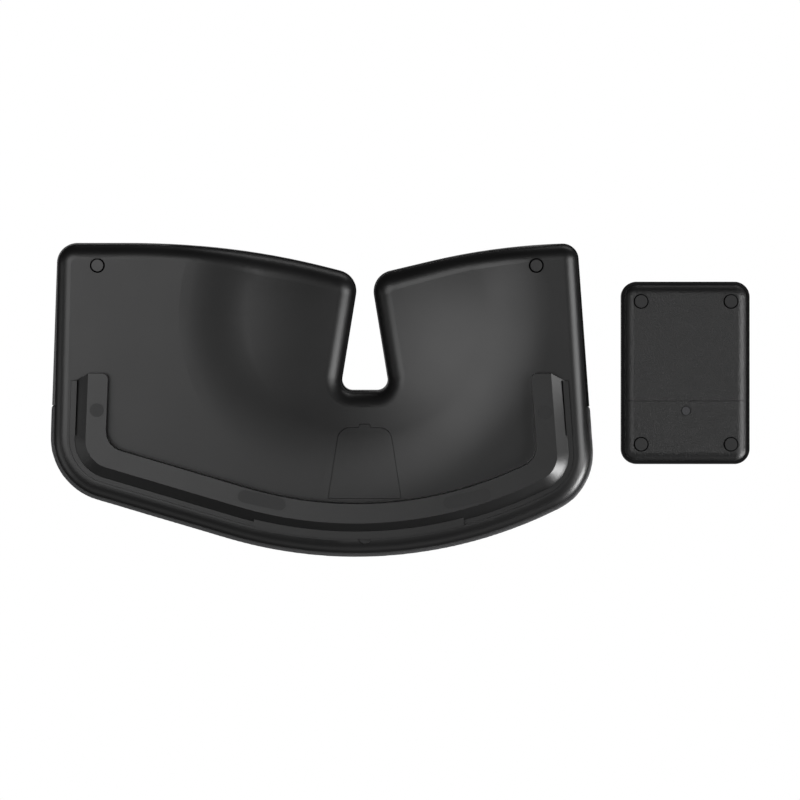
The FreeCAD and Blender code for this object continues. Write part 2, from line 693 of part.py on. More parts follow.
def keyboard_caps():
    """Every cap of the keyboard except the space bar."""
    cap_depth = PITCH - SPACE
    function_depth = size("function_depth")
    caps = []
    inner = notch_limit(80.0)
    width = 134.5 / 6
    names = ["escape_key"] + ["left_function_keys"] * 5
    widths = [None] + [width] * 5
    caps += row_of_keys(LEFT_ARC, FUNCTION_OFFSET, LEFT_LIMIT, -inner, names, widths, function_depth)
    names = ["right_function_keys"] * 8
    widths = [19.9] * 7 + [None]
    caps += row_of_keys(RIGHT_ARC, FUNCTION_OFFSET, inner, RIGHT_LIMIT, names, widths, function_depth)
    left_rows = [
        (["left_number_keys"] * 7, [None] + [PITCH] * 5 + [21.0]),
        (["tab_key"] + ["left_top_letter_keys"] * 5, [None] + [PITCH] * 4 + [26.0]),
        (["caps_lock_key"] + ["left_home_letter_keys"] * 5, [None] + [PITCH] * 4 + [23.0]),
        (["left_shift_key"] + ["left_bottom_letter_keys"] * 5, [None] + [PITCH] * 5),
    ]
    right_rows = [
        (["right_number_keys"] * 6 + ["backspace_key"], [21.0] + [PITCH] * 5 + [None]),
        (["right_top_letter_keys"] * 8, [23.0] + [PITCH] * 6 + [None]),
        (["right_home_letter_keys"] * 6 + ["enter_key"], [23.0] + [PITCH] * 5 + [None]),
        (["right_bottom_letter_keys"] * 5 + ["right_shift_key"], [22.0] + [PITCH] * 4 + [None]),
    ]
    for number, (left_row, right_row) in enumerate(zip(left_rows, right_rows)):
        offset = FIRST_ROW_OFFSET + number * PITCH
        limit = notch_limit(90.0 - offset)
        caps += row_of_keys(LEFT_ARC, offset, LEFT_LIMIT - 1.2 * number, -limit, *left_row, cap_depth)
        caps += row_of_keys(RIGHT_ARC, offset, limit, RIGHT_LIMIT, *right_row, cap_depth)
    offset = FIRST_ROW_OFFSET + 4 * PITCH
    left_row = (["left_modifier_keys"] * 3, [None, 22.0, 25.0])
    right_row = (["right_modifier_keys"] * 3, [27.0, 24.0, None])
    caps += row_of_keys(LEFT_ARC, offset, LEFT_LIMIT - 4.8, SPACE_BAR_LEFT, *left_row, cap_depth)
    caps += row_of_keys(RIGHT_ARC, offset, SPACE_BAR_RIGHT, RIGHT_LIMIT, *right_row, cap_depth)
    caps += navigation_caps(cap_depth, function_depth)
    return caps


SPACE_BAR_LEFT = -76.0
SPACE_BAR_RIGHT = 84.0


def navigation_caps(cap_depth, function_depth):
    """The two columns at the right, with the arrow keys below them."""
    caps = []
    arc_x, arc_y, arc_radius = RIGHT_ARC
    for x in NAVIGATION_X:
        rear = arc_y + math.sqrt(arc_radius ** 2 - (x - arc_x) ** 2)
        angle = -math.degrees(math.asin((x - arc_x) / arc_radius))
        for number in range(3):
            y = rear - FIRST_ROW_OFFSET - number * PITCH
            caps.append(Cap("navigation_keys", x, y, angle, cap_depth, cap_depth))
    x = sum(NAVIGATION_X) / 2
    rear = arc_y + math.sqrt(arc_radius ** 2 - (x - arc_x) ** 2)
    angle = -math.degrees(math.asin((x - arc_x) / arc_radius))
    y = rear - FIRST_ROW_OFFSET - 3 * PITCH
    caps.append(Cap("arrow_keys", x, y, angle, 2 * PITCH - SPACE, cap_depth))
    third = 2 * PITCH / 3
    for number in (-1, 0, 1):
        caps.append(Cap("arrow_keys", x + number * third, y - PITCH, angle, third - SPACE, cap_depth))
    return caps


UPRIGHT = Placement(Vector(0, 0, 0), Rotation(Vector(1, 0, 0), 90))


def cap_wedge(cap, surface):
    """A cap that narrows towards its top. A wedge narrows along its own Y axis, so it is stood up."""
    wedge = doc.addObject("Part::Wedge", "cap")
    wedge.Xmin, wedge.Xmax = -cap.width / 2, cap.width / 2
    wedge.Zmin, wedge.Zmax = -cap.depth / 2, cap.depth / 2
    wedge.setExpression("Ymin", "-Sizes.cap_skirt")
    wedge.setExpression("Ymax", "Sizes.cap_height")
    wedge.setExpression("X2min", ".Xmin + Sizes.cap_draft * 1 mm")
    wedge.setExpression("X2max", ".Xmax - Sizes.cap_draft * 1 mm")
    wedge.setExpression("Z2min", ".Zmin + Sizes.cap_draft * 1 mm")
    wedge.setExpression("Z2max", ".Zmax - Sizes.cap_draft * 1 mm")
    wedge.Placement = cap.frame(surface).multiply(UPRIGHT)
    return wedge


def space_bar_outline(margin):
    """Corner points of the space bar: it follows both arcs and is deepest in the middle."""
    half = (PITCH - SPACE) / 2
    offset = FIRST_ROW_OFFSET + 4 * PITCH
    left = LEFT_ARC[2] - offset
    right = RIGHT_ARC[2] - offset
    left_angle = math.asin((SPACE_BAR_LEFT + SPACE / 2 - LEFT_ARC[0]) / left)
    right_angle = math.asin((SPACE_BAR_RIGHT - SPACE / 2 - RIGHT_ARC[0]) / right)

    def on_arc(arc, angle, radius):
        return (arc[0] + radius * math.sin(angle), arc[1] + radius * math.cos(angle))

    corners = [
        (*on_arc(LEFT_ARC, left_angle, left + half), 2.0),
        (0.0, -8.0, 220.0),
        (*on_arc(RIGHT_ARC, right_angle, right + half), 2.0),
        (*on_arc(RIGHT_ARC, right_angle, right - half), 2.0),
        (0.0, -33.0, 150.0),
        (*on_arc(LEFT_ARC, left_angle, left - half), 2.0),
    ]
    return inset(corners, -margin)


# Top frame: the deck with an opening for each cap, and the skirt that meets the bottom case
skirt_inside = case_inset + wall
deck_outer = DECK.below().common(prism(OUTLINE, -REACH_ALL, REACH_ALL)).cut(PARTING.below())
deck_outer = deck_outer.makeChamfer(size("deck_edge_cut"), edges_along(deck_outer, DECK, OUTLINE))
inside_skirt = prism(inset(OUTLINE, skirt_inside), -REACH_ALL, REACH_ALL)
deck_shell = deck_outer.cut(DECK.raised(-deck_wall).below().common(inside_skirt))
frame = deck_shell.cut(seam_region(0.0)).toNurbs()
CAPS = keyboard_caps()


OPENING_REACH = 6.0
BAR_LOW = 10.0
BAR_HIGH = 60.0


def opening_through(cap, surface):
    """The opening for a cap, as a solid that passes through the deck."""
    half_x = cap.width / 2 + size("key_gap")
    half_y = cap.depth / 2 + size("key_gap")
    opening = block(-half_x, half_x, -half_y, half_y, -OPENING_REACH, OPENING_REACH)
    opening.Placement = cap.frame(surface)
    return opening


openings = [opening_through(cap, DECK) for cap in CAPS]
openings.append(prism(space_bar_outline(size("key_gap")), BAR_LOW, BAR_HIGH))

# Slide switch and indicator window, in the free corner above the right columns
SWITCH = Cap("function_switch", 203.5, 102.0, -4.0, 0, 0)
WINDOW = Cap("indicator_window", 186.0, 102.8, -3.0, 0, 0)
SLOT_HALF = (4.5, 1.9)
WINDOW_HALF = (3.5, 1.2)
WINDOW_PLAY = 0.05


def set_on_deck(shape, cap):
    copy = shape.copy()
    copy.Placement = cap.frame(DECK)
    return copy


def centred(half_x, half_y, bottom, top):
    """A box round the middle of its own frame."""
    return block(-half_x, half_x, -half_y, half_y, bottom, top)


openings.append(set_on_deck(centred(*SLOT_HALF, -OPENING_REACH, OPENING_REACH), SWITCH))
openings.append(set_on_deck(centred(*WINDOW_HALF, -OPENING_REACH, OPENING_REACH), WINDOW))

# Posts under the deck carry the steel plate
plate_top = DECK.raised(-size("plate_depth"))
post_line = rounded_wire(inset(OUTLINE, size("post_inset")))
POST_GAP = 0.2
POST_COUNT = 34
POST_FRONT = 8.0
posts = []
for point in post_line.discretize(Number=POST_COUNT):
    if point.y > size("seam_side_y") + POST_FRONT:
        low = plate_top.height(point.x, point.y) + size("sheet_thickness") + POST_GAP
        high = DECK.height(point.x, point.y) - deck_wall / 2
        posts.append(post_at(point.x, point.y, size("post_radius"), low, high))
frame = frame.fuse(posts).cut(openings)
piece("top_frame", frame, STANDING)
lens = centred(WINDOW_HALF[0] - WINDOW_PLAY, WINDOW_HALF[1] - WINDOW_PLAY, -deck_wall, 0.0)
piece("indicator_window", set_on_deck(lens, WINDOW), STANDING)
KNOB_MIDDLE = -2.05
KNOB_HALF = (2.25, 1.5)
KNOB_TOP = 0.9
RIDGE_HALF = 0.3
RIDGE_TOP = 1.3
RIDGE_PITCH = 1.3
FLANGE_HALF = (3.55, 2.6)
FLANGE_LOW = -3.4
FLANGE_TOP = -2.4
slider = centred(*KNOB_HALF, FLANGE_LOW, KNOB_TOP)
for ridge in (-1, 0, 1):
    rib = centred(RIDGE_HALF, KNOB_HALF[1], KNOB_TOP, RIDGE_TOP)
    slider = slider.fuse(moved(rib, ridge * RIDGE_PITCH, 0, 0))
slider = slider.fuse(centred(*FLANGE_HALF, FLANGE_LOW, FLANGE_TOP))
slider = Part.makeCompound([moved(slider, KNOB_MIDDLE, 0, 0)])
piece("function_switch", set_on_deck(slider, SWITCH), STANDING)

# Steel plate, contact sheet and rubber domes under the keys
def sheet_under_keys(top, thickness, edge_inset):
    """A curved sheet that follows the deck, behind the seam."""
    solid = top.below().common(prism(inset(OUTLINE, edge_inset), -REACH_ALL, REACH_ALL))
    return solid.cut([top.raised(-thickness).below(), seam_region(1.0)])


piece("key_base_plate", sheet_under_keys(plate_top, size("plate_thickness"), size("plate_inset")), STANDING)
sheet_top = plate_top.raised(size("sheet_thickness"))
contact_sheet = sheet_under_keys(sheet_top, size("sheet_thickness"), size("plate_inset"))
piece("contact_sheet", contact_sheet, STANDING)


dome_base = size("sheet_thickness") - size("plate_depth")
dome_tip = -size("cap_skirt") - size("dome_gap")
DOME_LIFT = 0.05
DOME_SIDES = 4


def dome_solid():
    """A rubber dome that stands on the contact sheet, just under its cap."""
    foot_ring = ring_of(size("dome_radius"), dome_base + DOME_LIFT, DOME_SIDES)
    return faceted_solid(foot_ring, ring_of(size("dome_top_radius"), dome_tip, DOME_SIDES))


BAR_SPOTS = [
    Cap("space_bar", -42.0, -7.0, -14.0, 0, 0),
    Cap("space_bar", 0.0, -17.0, 0.0, 0, 0),
    Cap("space_bar", 48.0, -9.0, 12.0, 0, 0),
]
domes = [set_on_deck(dome_solid(), cap) for cap in CAPS + BAR_SPOTS]
piece("rubber_domes", Part.makeCompound(domes), STANDING)

groups = {}
for cap in CAPS:
    groups.setdefault(cap.group, []).append(cap_wedge(cap, DECK))
for name, wedges in groups.items():
    set_of(name, wedges, STANDING)
bar = prism(space_bar_outline(0.0), BAR_LOW, BAR_HIGH)
bar = bar.common(DECK.raised(size("cap_height")).below()).cut(DECK.raised(-size("cap_skirt")).below())
piece("space_bar", bar, STANDING)

# Palm rest: a carrier behind the joint line, and the padding wrapped over it
COVER_HEM = 2.4
HEM_GAP = 1.2
pad_top = DECK.raised(size("pad_stand"))
pad_bottom = pad_top.raised(-size("pad_thickness"))
palm_region = seam_region(-size("seam_gap"))
carrier_inset = case_inset + COVER_HEM
carrier_block = pad_bottom.below().common(prism(inset(OUTLINE, carrier_inset), -REACH_ALL, REACH_ALL))
carrier_core = pad_bottom.raised(-deck_wall).below()
carrier_core = carrier_core.common(prism(inset(OUTLINE, carrier_inset + wall), -REACH_ALL, REACH_ALL))
carrier = carrier_block.common(palm_region).cut([PARTING.below(), carrier_core])
piece("palm_rest_base", carrier, STANDING)
pad_blank = pad_top.below().common(prism(OUTLINE, -REACH_ALL, REACH_ALL)).common(palm_region)
pad_blank = pad_blank.cut(PARTING.raised(HEM_GAP).below())
pad_blank = pad_blank.makeFillet(size("pad_edge_radius"), edges_along(pad_blank, pad_top, OUTLINE))
padding = pad_blank.cut(carrier_block)
piece("palm_rest_cover", padding, STANDING)

# Battery bay: tray, two cells, contacts, and the door that the magnets hold
tray_wall = size("tray_wall")
cell_radius = size("cell_radius")
cell_length = size("cell_length")
half_pitch = size("cell_pitch") / 2
CELL_PLACE = Placement(
    Vector(0, size("cell_middle_y"), size("cell_height")), Rotation(Vector(1, 0, 0), size("cell_slope"))
)
CELL_END_ROOM = 1.2
CELL_SIDES = 12
CELL_PLAY = 0.3
BUTTON_RADIUS = 1.9
BUTTON_LENGTH = 1.0
RIB_Y = 12.0
RIB_HALF = 1.0
CONTACT_HALF = 9.5
CONTACT_LOW = -3.5
CONTACT_TOP = 6.0
CONTACT_GAP = 0.1
CONTACT_THICKNESS = 0.5


def beside_cells(shape):
    """A copy moved from the cells' own frame into the keyboard's."""
    copy = shape.copy()
    copy.Placement = CELL_PLACE.multiply(copy.Placement)
    return copy


def cell_rod(radius, start, end):
    """A round-sided rod along Y."""
    rod = facet_disc(radius, start, end, CELL_SIDES)
    rod.rotate(Vector(0, 0, 0), Vector(1, 0, 0), -90)
    return rod


tray_top = size("tray_height")
tray_roof = beside_cells(centred(REACH_ALL, REACH_ALL, -REACH_ALL, tray_top))
tray_room = beside_cells(centred(REACH_ALL, REACH_ALL, -REACH_ALL, tray_top - tray_wall))
tray = tray_roof.common(prism(door_plan(door_gap + tray_wall), -wall, REACH_ALL))
tray_room = tray_room.common(prism(door_plan(-tray_wall), -REACH_ALL, REACH_ALL))
tray = tray.cut([tray_room, floor_inside.below()])
ribs = []
for y in (-RIB_Y, RIB_Y):
    rib = centred(REACH_ALL, RIB_HALF, -RIB_HALF, tray_top - tray_wall / 2)
    rib.translate(Vector(0, y, 0))
    ribs.append(beside_cells(rib).common(prism(door_plan(0.0), 0.0, REACH_ALL)))
tray = tray.fuse(ribs)
for x in (-half_pitch, half_pitch):
    room_end = cell_length / 2 + CELL_END_ROOM
    room = cell_rod(cell_radius + CELL_PLAY, -room_end, room_end)
    room.translate(Vector(x, 0, 0))
    tray = tray.cut(beside_cells(room))
piece("battery_tray", tray, STANDING)
cells = []
for x, facing in ((-half_pitch, 1), (half_pitch, -1)):
    cell = cell_rod(cell_radius, -cell_length / 2, cell_length / 2 - BUTTON_LENGTH)
    cell = cell.fuse(cell_rod(BUTTON_RADIUS, cell_length / 2 - BUTTON_LENGTH, cell_length / 2))
    if facing < 0:
        cell.rotate(Vector(0, 0, 0), Vector(0, 0, 1), 180)
    cell.translate(Vector(x, 0, 0))
    cells.append(beside_cells(cell))
piece("aaa_cells", Part.makeCompound(cells), STANDING)
contacts = []
for side in (-1, 1):
    middle = side * (cell_length / 2 + CONTACT_GAP + CONTACT_THICKNESS / 2)
    plate = centred(CONTACT_HALF, CONTACT_THICKNESS / 2, CONTACT_LOW, CONTACT_TOP)
    plate.translate(Vector(0, middle, 0))
    contacts.append(beside_cells(plate))
piece("battery_contacts", Part.makeCompound(contacts), STANDING)
door_wall = size("door_wall")
RISER_CLEARANCE = 0.7
door = prism(door_plan(0.0), -DOOR_REACH, DOOR_REACH * 2).fuse(finger_notch(0.0))
strip_inner = size("riser_strip_inset") + size("riser_strip_width")
inside_riser = prism(front_region(strip_inner + RISER_CLEARANCE), -DOOR_REACH, DOOR_REACH * 2)
door = door.common(HOLLOW.raised(door_wall).below()).common(inside_riser).cut(HOLLOW.below())
piece("battery_door", door, STANDING)

# Riser: a wedge that follows the front, with a flat strip on the desk
stand_level = size("grip_pad_stand")


def desk_plane(y):
    return desk_level(y) + stand_level


FOOT_SHARE = 0.7


def riser_body(shrink, top, lift):
    """The riser's outer form, or its hollow when shrunk by the wall."""
    top_wire = rounded_wire(front_region(size("riser_top_inset") + shrink), top)
    bottom_plan = front_region(size("riser_strip_inset") + shrink * FOOT_SHARE)
    bottom_wire = rounded_wire(bottom_plan, lift=lambda y: desk_plane(y) + lift)
    body = Part.makeLoft([bottom_wire, top_wire], True, True)
    inner_plan = front_region(strip_inner - shrink)
    body = body.cut(prism(inner_plan, -REACH_ALL, REACH_ALL)).common(arm_region(shrink))
    corners = []
    for edge in body.Edges:
        middle = edge.valueAt((edge.FirstParameter + edge.LastParameter) / 2)
        upright = abs(edge.tangentAt(edge.FirstParameter).z) > 0.99
        at_end = abs(middle.y - size("riser_arm_y") + shrink) < TOUCHING
        beside_strip = Part.Vertex(middle).distToShape(rounded_wire(inner_plan, middle.z))[0] < TOUCHING
        if upright and at_end and beside_strip:
            corners.append(edge)
    return body.makeFillet(size("riser_arm_corner") - shrink, corners)


riser_top = seat_depth - riser_gap
riser_wall = size("riser_wall")
rim_top = -size("riser_rim_gap")
riser = riser_body(0.0, riser_top, 0.0)
tongue_outer = seat_outer + riser_gap
FLANGE_THICKNESS = 0.9
flange = front_band(tongue_outer, seat_inner, riser_top - FLANGE_THICKNESS, riser_top, size("riser_slope_y"))
riser = riser.fuse(flange).cut(riser_body(riser_wall, riser_top + 1.0, riser_wall))
riser = riser.cut(prism(front_region(seat_inner - riser_gap), rim_top, REACH_ALL))


def ledge(width, depth, x_low, x_high, y_low, y_high):
    """A flat ledge along the riser's outer side, within a rectangle."""
    band = front_band(tongue_outer, seat_outer + width, -depth, riser_top, y_high)
    return band.common(block(x_low, x_high, y_low, y_high, -REACH_ALL, REACH_ALL))


ledge_y = size("riser_ledge_y")
arm_ledge = (size("riser_arm_ledge_width"), size("riser_arm_ledge"))
front_ledge = (size("riser_ledge_width"), size("riser_front_ledge"))
front_ends = (size("riser_ledge_x_low"), size("riser_ledge_x_high"))
riser = riser.fuse([
    ledge(*front_ledge, *front_ends, -BEYOND, ledge_y),
    ledge(*arm_ledge, -BEYOND, 0.0, ledge_y, size("riser_slope_y")),
    ledge(*arm_ledge, 0.0, BEYOND, ledge_y, size("riser_slope_y")),
])
MAGNET_PLACES = [(193.0, 8.0), (-130.5, 8.0), (130.0, -55.6), (-100.0, -59.6)]
magnet_height = size("magnet_height")
magnet_radius = size("magnet_radius")
magnets = []
mates = []
for x, y in MAGNET_PLACES:
    seat_level = rim_top - magnet_height
    riser = riser.fuse(post_at(x, y, magnet_radius, desk_plane(y) + riser_wall / 2, seat_level))
    formulas = {"Radius": "Sizes.magnet_radius", "Height": "Sizes.magnet_height"}
    magnets.append(bound("Cylinder", "riser_magnet", at(x, y, seat_level), **formulas))
    mates.append(bound("Cylinder", "case_magnet", at(x, y, wall), **formulas))
round_pads = [(193.0, -5.7), (-130.4, -7.4)]
bar_pads = [(74.0, -70.5, 1.0), (-74.0, -69.4, -1.0)]
pad_depth = size("grip_pad_depth")
NEARLY = 0.998
disc = Part.makeCylinder(size("pad_disc_radius"), stand_level + pad_depth)
bar_half = size("pad_bar_length") / 2 - size("pad_bar_width") / 2
end_radius = size("pad_bar_width") / 2
bar_end = bar_half + end_radius
bar_plan = [(bar_end, end_radius), (-bar_end, end_radius), (-bar_end, -end_radius), (bar_end, -end_radius)]
grip_bar = prism([(x, y, end_radius * NEARLY) for x, y in bar_plan], 0, stand_level + pad_depth)
discs = [moved(disc, x, y, desk_level(y), 0.0, True) for x, y in round_pads]
bars = [moved(grip_bar, x, y, desk_level(y), side * size("pad_bar_angle"), True) for x, y, side in bar_pads]
riser = riser.cut(discs + bars)
piece("riser_shell", riser, STANDING)
round_formulas = {"Radius": "Sizes.pad_disc_radius", "Height": "Sizes.grip_pad_stand + Sizes.grip_pad_depth"}
round_members = [bound("Cylinder", "round_pad", on_desk(x, y), **round_formulas) for x, y in round_pads]
set_of("riser_round_pads", round_members, STANDING)
piece("riser_oblong_pads", Part.makeCompound(bars), STANDING)
set_of("riser_magnets", magnets, STANDING)
set_of("case_magnets", mates, STANDING)

# Main board on two posts of the case
# Place of each chip beside the middle of the board, then its three sizes
chips = [(-18.0, 2.0, 6.0, 6.0, 1.4), (4.0, -3.0, 8.0, 8.0, 1.6), (20.0, 4.0, 5.0, 3.5, 1.8)]
board_corner = at(board_x - board_half, board_y - size("board_width") / 2, board_level)
board_parts = [bound(
    "Box", "board", board_corner,
    Length="Sizes.board_length", Width="Sizes.board_width", Height="Sizes.board_thickness",
)]
for x, y, width, depth, height in chips:
    chip_corner = at(board_x + x - width / 2, board_y + y - depth / 2, board_level + size("board_thickness"))
    chip_sizes = {"Length": str(width), "Width": str(depth), "Height": str(height)}
    board_parts.append(bound("Box", "chip", chip_corner, **chip_sizes))
joined("main_board", board_parts, STANDING)

# Rear feet, case screws
foot_formulas = {"Radius": "Sizes.foot_radius", "Height": "Sizes.foot_stand + Sizes.foot_seat_depth - 0.3"}
feet = [bound("Cylinder", "rear_foot", on_desk(x, y), **foot_formulas) for x, y in foot_places]
set_of("rear_feet", feet, STANDING)
screw = facet_disc(HEAD_HOLE - 4 * SCREW_PLAY, 0.0, HEAD_HEIGHT - 2 * SCREW_PLAY)
screw = screw.fuse(facet_disc(SCREW_HOLE - SCREW_PLAY, SCREW_PLAY, SCREW_LENGTH))
screws = [moved(screw, x, y, HEAD_LEVEL) for x, y in SCREW_PLACES]
piece("case_screws", Part.makeCompound(screws), STANDING)

# Keypad: a flat tray with a rolled edge, a deck, and its own keys
pad_w = size("keypad_width")
pad_d = size("keypad_depth")
rim = size("keypad_rim")
corner = size("keypad_corner")
joint = size("keypad_joint_height")
keypad_deck = size("keypad_deck_height")


def keypad_plan(margin):
    """Rounded rectangle of the keypad, inset by a margin."""
    x, y = pad_w / 2, pad_d / 2
    return inset([(x, y, corner), (-x, y, corner), (-x, -y, corner), (x, -y, corner)], margin)


def edges_at(solid, level):
    """The edges that lie flat at one height."""
    found = []
    for edge in solid.Edges:
        box = edge.BoundBox
        if abs(box.ZMin - level) < 1e-6 and abs(box.ZMax - level) < 1e-6:
            found.append(edge)
    return found


KEYPAD_BOARD_LEVEL = 4.4
KEYPAD_SIDE_WALL = 3.6
KEYPAD_POST_HALF = 2.0
KEYPAD_POSTS = [(-14.0, 12.0), (14.0, 12.0)]
DOOR_PLAY = 0.15
FOOT_RING = 1.0
SCREW_SEAT_TOP = 1.4
SCREW_BORE = 1.6
SCREW_THREAD = 1.2
SCREW_SHANK = 1.1
SCREW_HEAD_TOP = 1.0
SCREW_END = 5.5
SCREW_LEVEL = 0.3
SLOT_LENGTH_HALF = 2.2
SLOT_WIDTH_HALF = 0.35
SLOT_DEPTH = 0.5
LUG_HALF = 4.0
LUG_LOW = 3.4
LUG_TOP = 6.6
COIN_LIFT = 0.4
edge_radius = size("keypad_edge_radius")
tray_blank = prism(keypad_plan(rim), 0.0, joint)
tray_blank = tray_blank.makeFillet(edge_radius, edges_at(tray_blank, 0.0))
tray_room = prism(keypad_plan(rim + KEYPAD_SIDE_WALL), deck_wall, REACH_ALL)
keypad_case = tray_blank.cut(tray_room)
for x, y in KEYPAD_POSTS:
    keypad_case = keypad_case.fuse(post_at(x, y, KEYPAD_POST_HALF, deck_wall / 2, KEYPAD_BOARD_LEVEL))
door_line = size("keypad_door_line")
door_height = size("keypad_door_height")


def below_door_line(play):
    """All that lies in front of the door's rear edge and under its rolled edge."""
    return block(-REACH_ALL, REACH_ALL, -REACH_ALL, door_line + play, -REACH_ALL, door_height + play)


keypad_door = keypad_case.common(below_door_line(-DOOR_PLAY))
keypad_case = keypad_case.cut(below_door_line(DOOR_PLAY))
foot_x = size("keypad_foot_x")
foot_y = size("keypad_foot_y")
foot_seat = facet_disc(size("keypad_foot_radius") + FOOT_RING, -deck_wall, size("keypad_foot_seat"), 24)
foot_height = "Sizes.keypad_stand + Sizes.keypad_foot_seat"
foot_formulas = {"Radius": "Sizes.keypad_foot_radius", "Height": foot_height}
foot_level = -size("keypad_stand")
case_feet = []
door_feet = []
for x in (-foot_x, foot_x):
    keypad_case = keypad_case.cut(moved(foot_seat, x, foot_y, 0))
    keypad_door = keypad_door.cut(moved(foot_seat, x, -foot_y, 0))
    case_feet.append(bound("Cylinder", "case_foot", at(x, foot_y, foot_level), **foot_formulas))
    door_feet.append(bound("Cylinder", "door_foot", at(x, -foot_y, foot_level), **foot_formulas))
screw_y = size("keypad_screw_y")
screw_seat = facet_disc(size("screw_seat_radius"), -deck_wall, SCREW_SEAT_TOP, 20)
keypad_door = keypad_door.cut(moved(screw_seat, 0, screw_y, 0))
keypad_door = keypad_door.cut(moved(facet_disc(SCREW_BORE, -deck_wall, LUG_LOW), 0, screw_y, 0))
lug_rear = door_line + LUG_HALF
lug = block(-LUG_HALF, LUG_HALF, screw_y - LUG_HALF, lug_rear, LUG_LOW, LUG_TOP)
lug = lug.fuse(block(-LUG_HALF, LUG_HALF, door_line + DOOR_PLAY, lug_rear, deck_wall / 2, LUG_TOP))
keypad_case = keypad_case.fuse(lug).cut(moved(facet_disc(SCREW_THREAD, 0, REACH_ALL), 0, screw_y, 0))
piece("keypad_bottom_case", keypad_case, KEYPAD_PLACE)
piece("keypad_battery_door", keypad_door, KEYPAD_PLACE)
set_of("keypad_case_feet", case_feet, KEYPAD_PLACE)
set_of("keypad_door_feet", door_feet, KEYPAD_PLACE)
door_screw = facet_disc(size("screw_head_radius"), 0, SCREW_HEAD_TOP, 20)
door_screw = door_screw.fuse(facet_disc(SCREW_SHANK, SCREW_HEAD_TOP, SCREW_END))
cross_slot = centred(SLOT_LENGTH_HALF, SLOT_WIDTH_HALF, -SLOT_DEPTH, SLOT_DEPTH)
door_screw = door_screw.cut([cross_slot, moved(cross_slot, 0, 0, 0, 90)])
piece("keypad_door_screw", moved(door_screw, 0, screw_y, SCREW_LEVEL), KEYPAD_PLACE)

keypad_shell = prism(keypad_plan(0.0), joint, keypad_deck)
keypad_shell = keypad_shell.makeChamfer(size("deck_edge_cut"), edges_at(keypad_shell, keypad_deck))
keypad_shell = keypad_shell.cut(prism(keypad_plan(rim + deck_wall), -REACH_ALL, keypad_deck - deck_wall))


class FlatDeck:
    """The keypad's level deck, with the same calls as a hill."""

    def height(self, x, y):
        return keypad_deck

    def normal(self, x, y):
        return Vector(0, 0, 1)


KEYPAD_FIRST_ROW = 28.0
KEYPAD_POST_X = 41.0
KEYPAD_POST_Y = 58.0


def keypad_caps():
    """Four small keys over a five-row block of number keys."""
    depth = PITCH - SPACE
    caps = []
    columns = [(number - 1.5) * PITCH for number in range(4)]
    rows = [KEYPAD_FIRST_ROW - number * PITCH for number in range(5)]
    small_y = rows[0] + PITCH / 2 + SPACE + size("function_depth") / 2
    for x in columns:
        caps.append(Cap("keypad_function_keys", x, small_y, 0, depth, size("function_depth")))
        caps.append(Cap("keypad_operator_keys", x, rows[0], 0, depth, depth))
    for row in (1, 2, 3):
        for x in columns[:3]:
            caps.append(Cap("keypad_number_keys", x, rows[row], 0, depth, depth))
    caps.append(Cap("keypad_zero_key", (columns[0] + columns[1]) / 2, rows[4], 0, PITCH + depth, depth))
    caps.append(Cap("keypad_number_keys", columns[2], rows[4], 0, depth, depth))
    caps.append(Cap("keypad_plus_key", columns[3], (rows[1] + rows[2]) / 2, 0, depth, PITCH + depth))
    caps.append(Cap("keypad_enter_key", columns[3], (rows[3] + rows[4]) / 2, 0, depth, PITCH + depth))
    return caps


FLAT = FlatDeck()
PAD_CAPS = keypad_caps()
keypad_shell = keypad_shell.cut([opening_through(cap, FLAT) for cap in PAD_CAPS])
plate_level = keypad_deck - size("plate_depth")
post_low = plate_level + size("sheet_thickness")
for x in (-KEYPAD_POST_X, KEYPAD_POST_X):
    for y in (-KEYPAD_POST_Y, 0.0, KEYPAD_POST_Y):
        post = post_at(x, y, size("post_radius"), post_low, keypad_deck - deck_wall / 2)
        keypad_shell = keypad_shell.fuse(post)
piece("keypad_top_frame", keypad_shell, KEYPAD_PLACE)


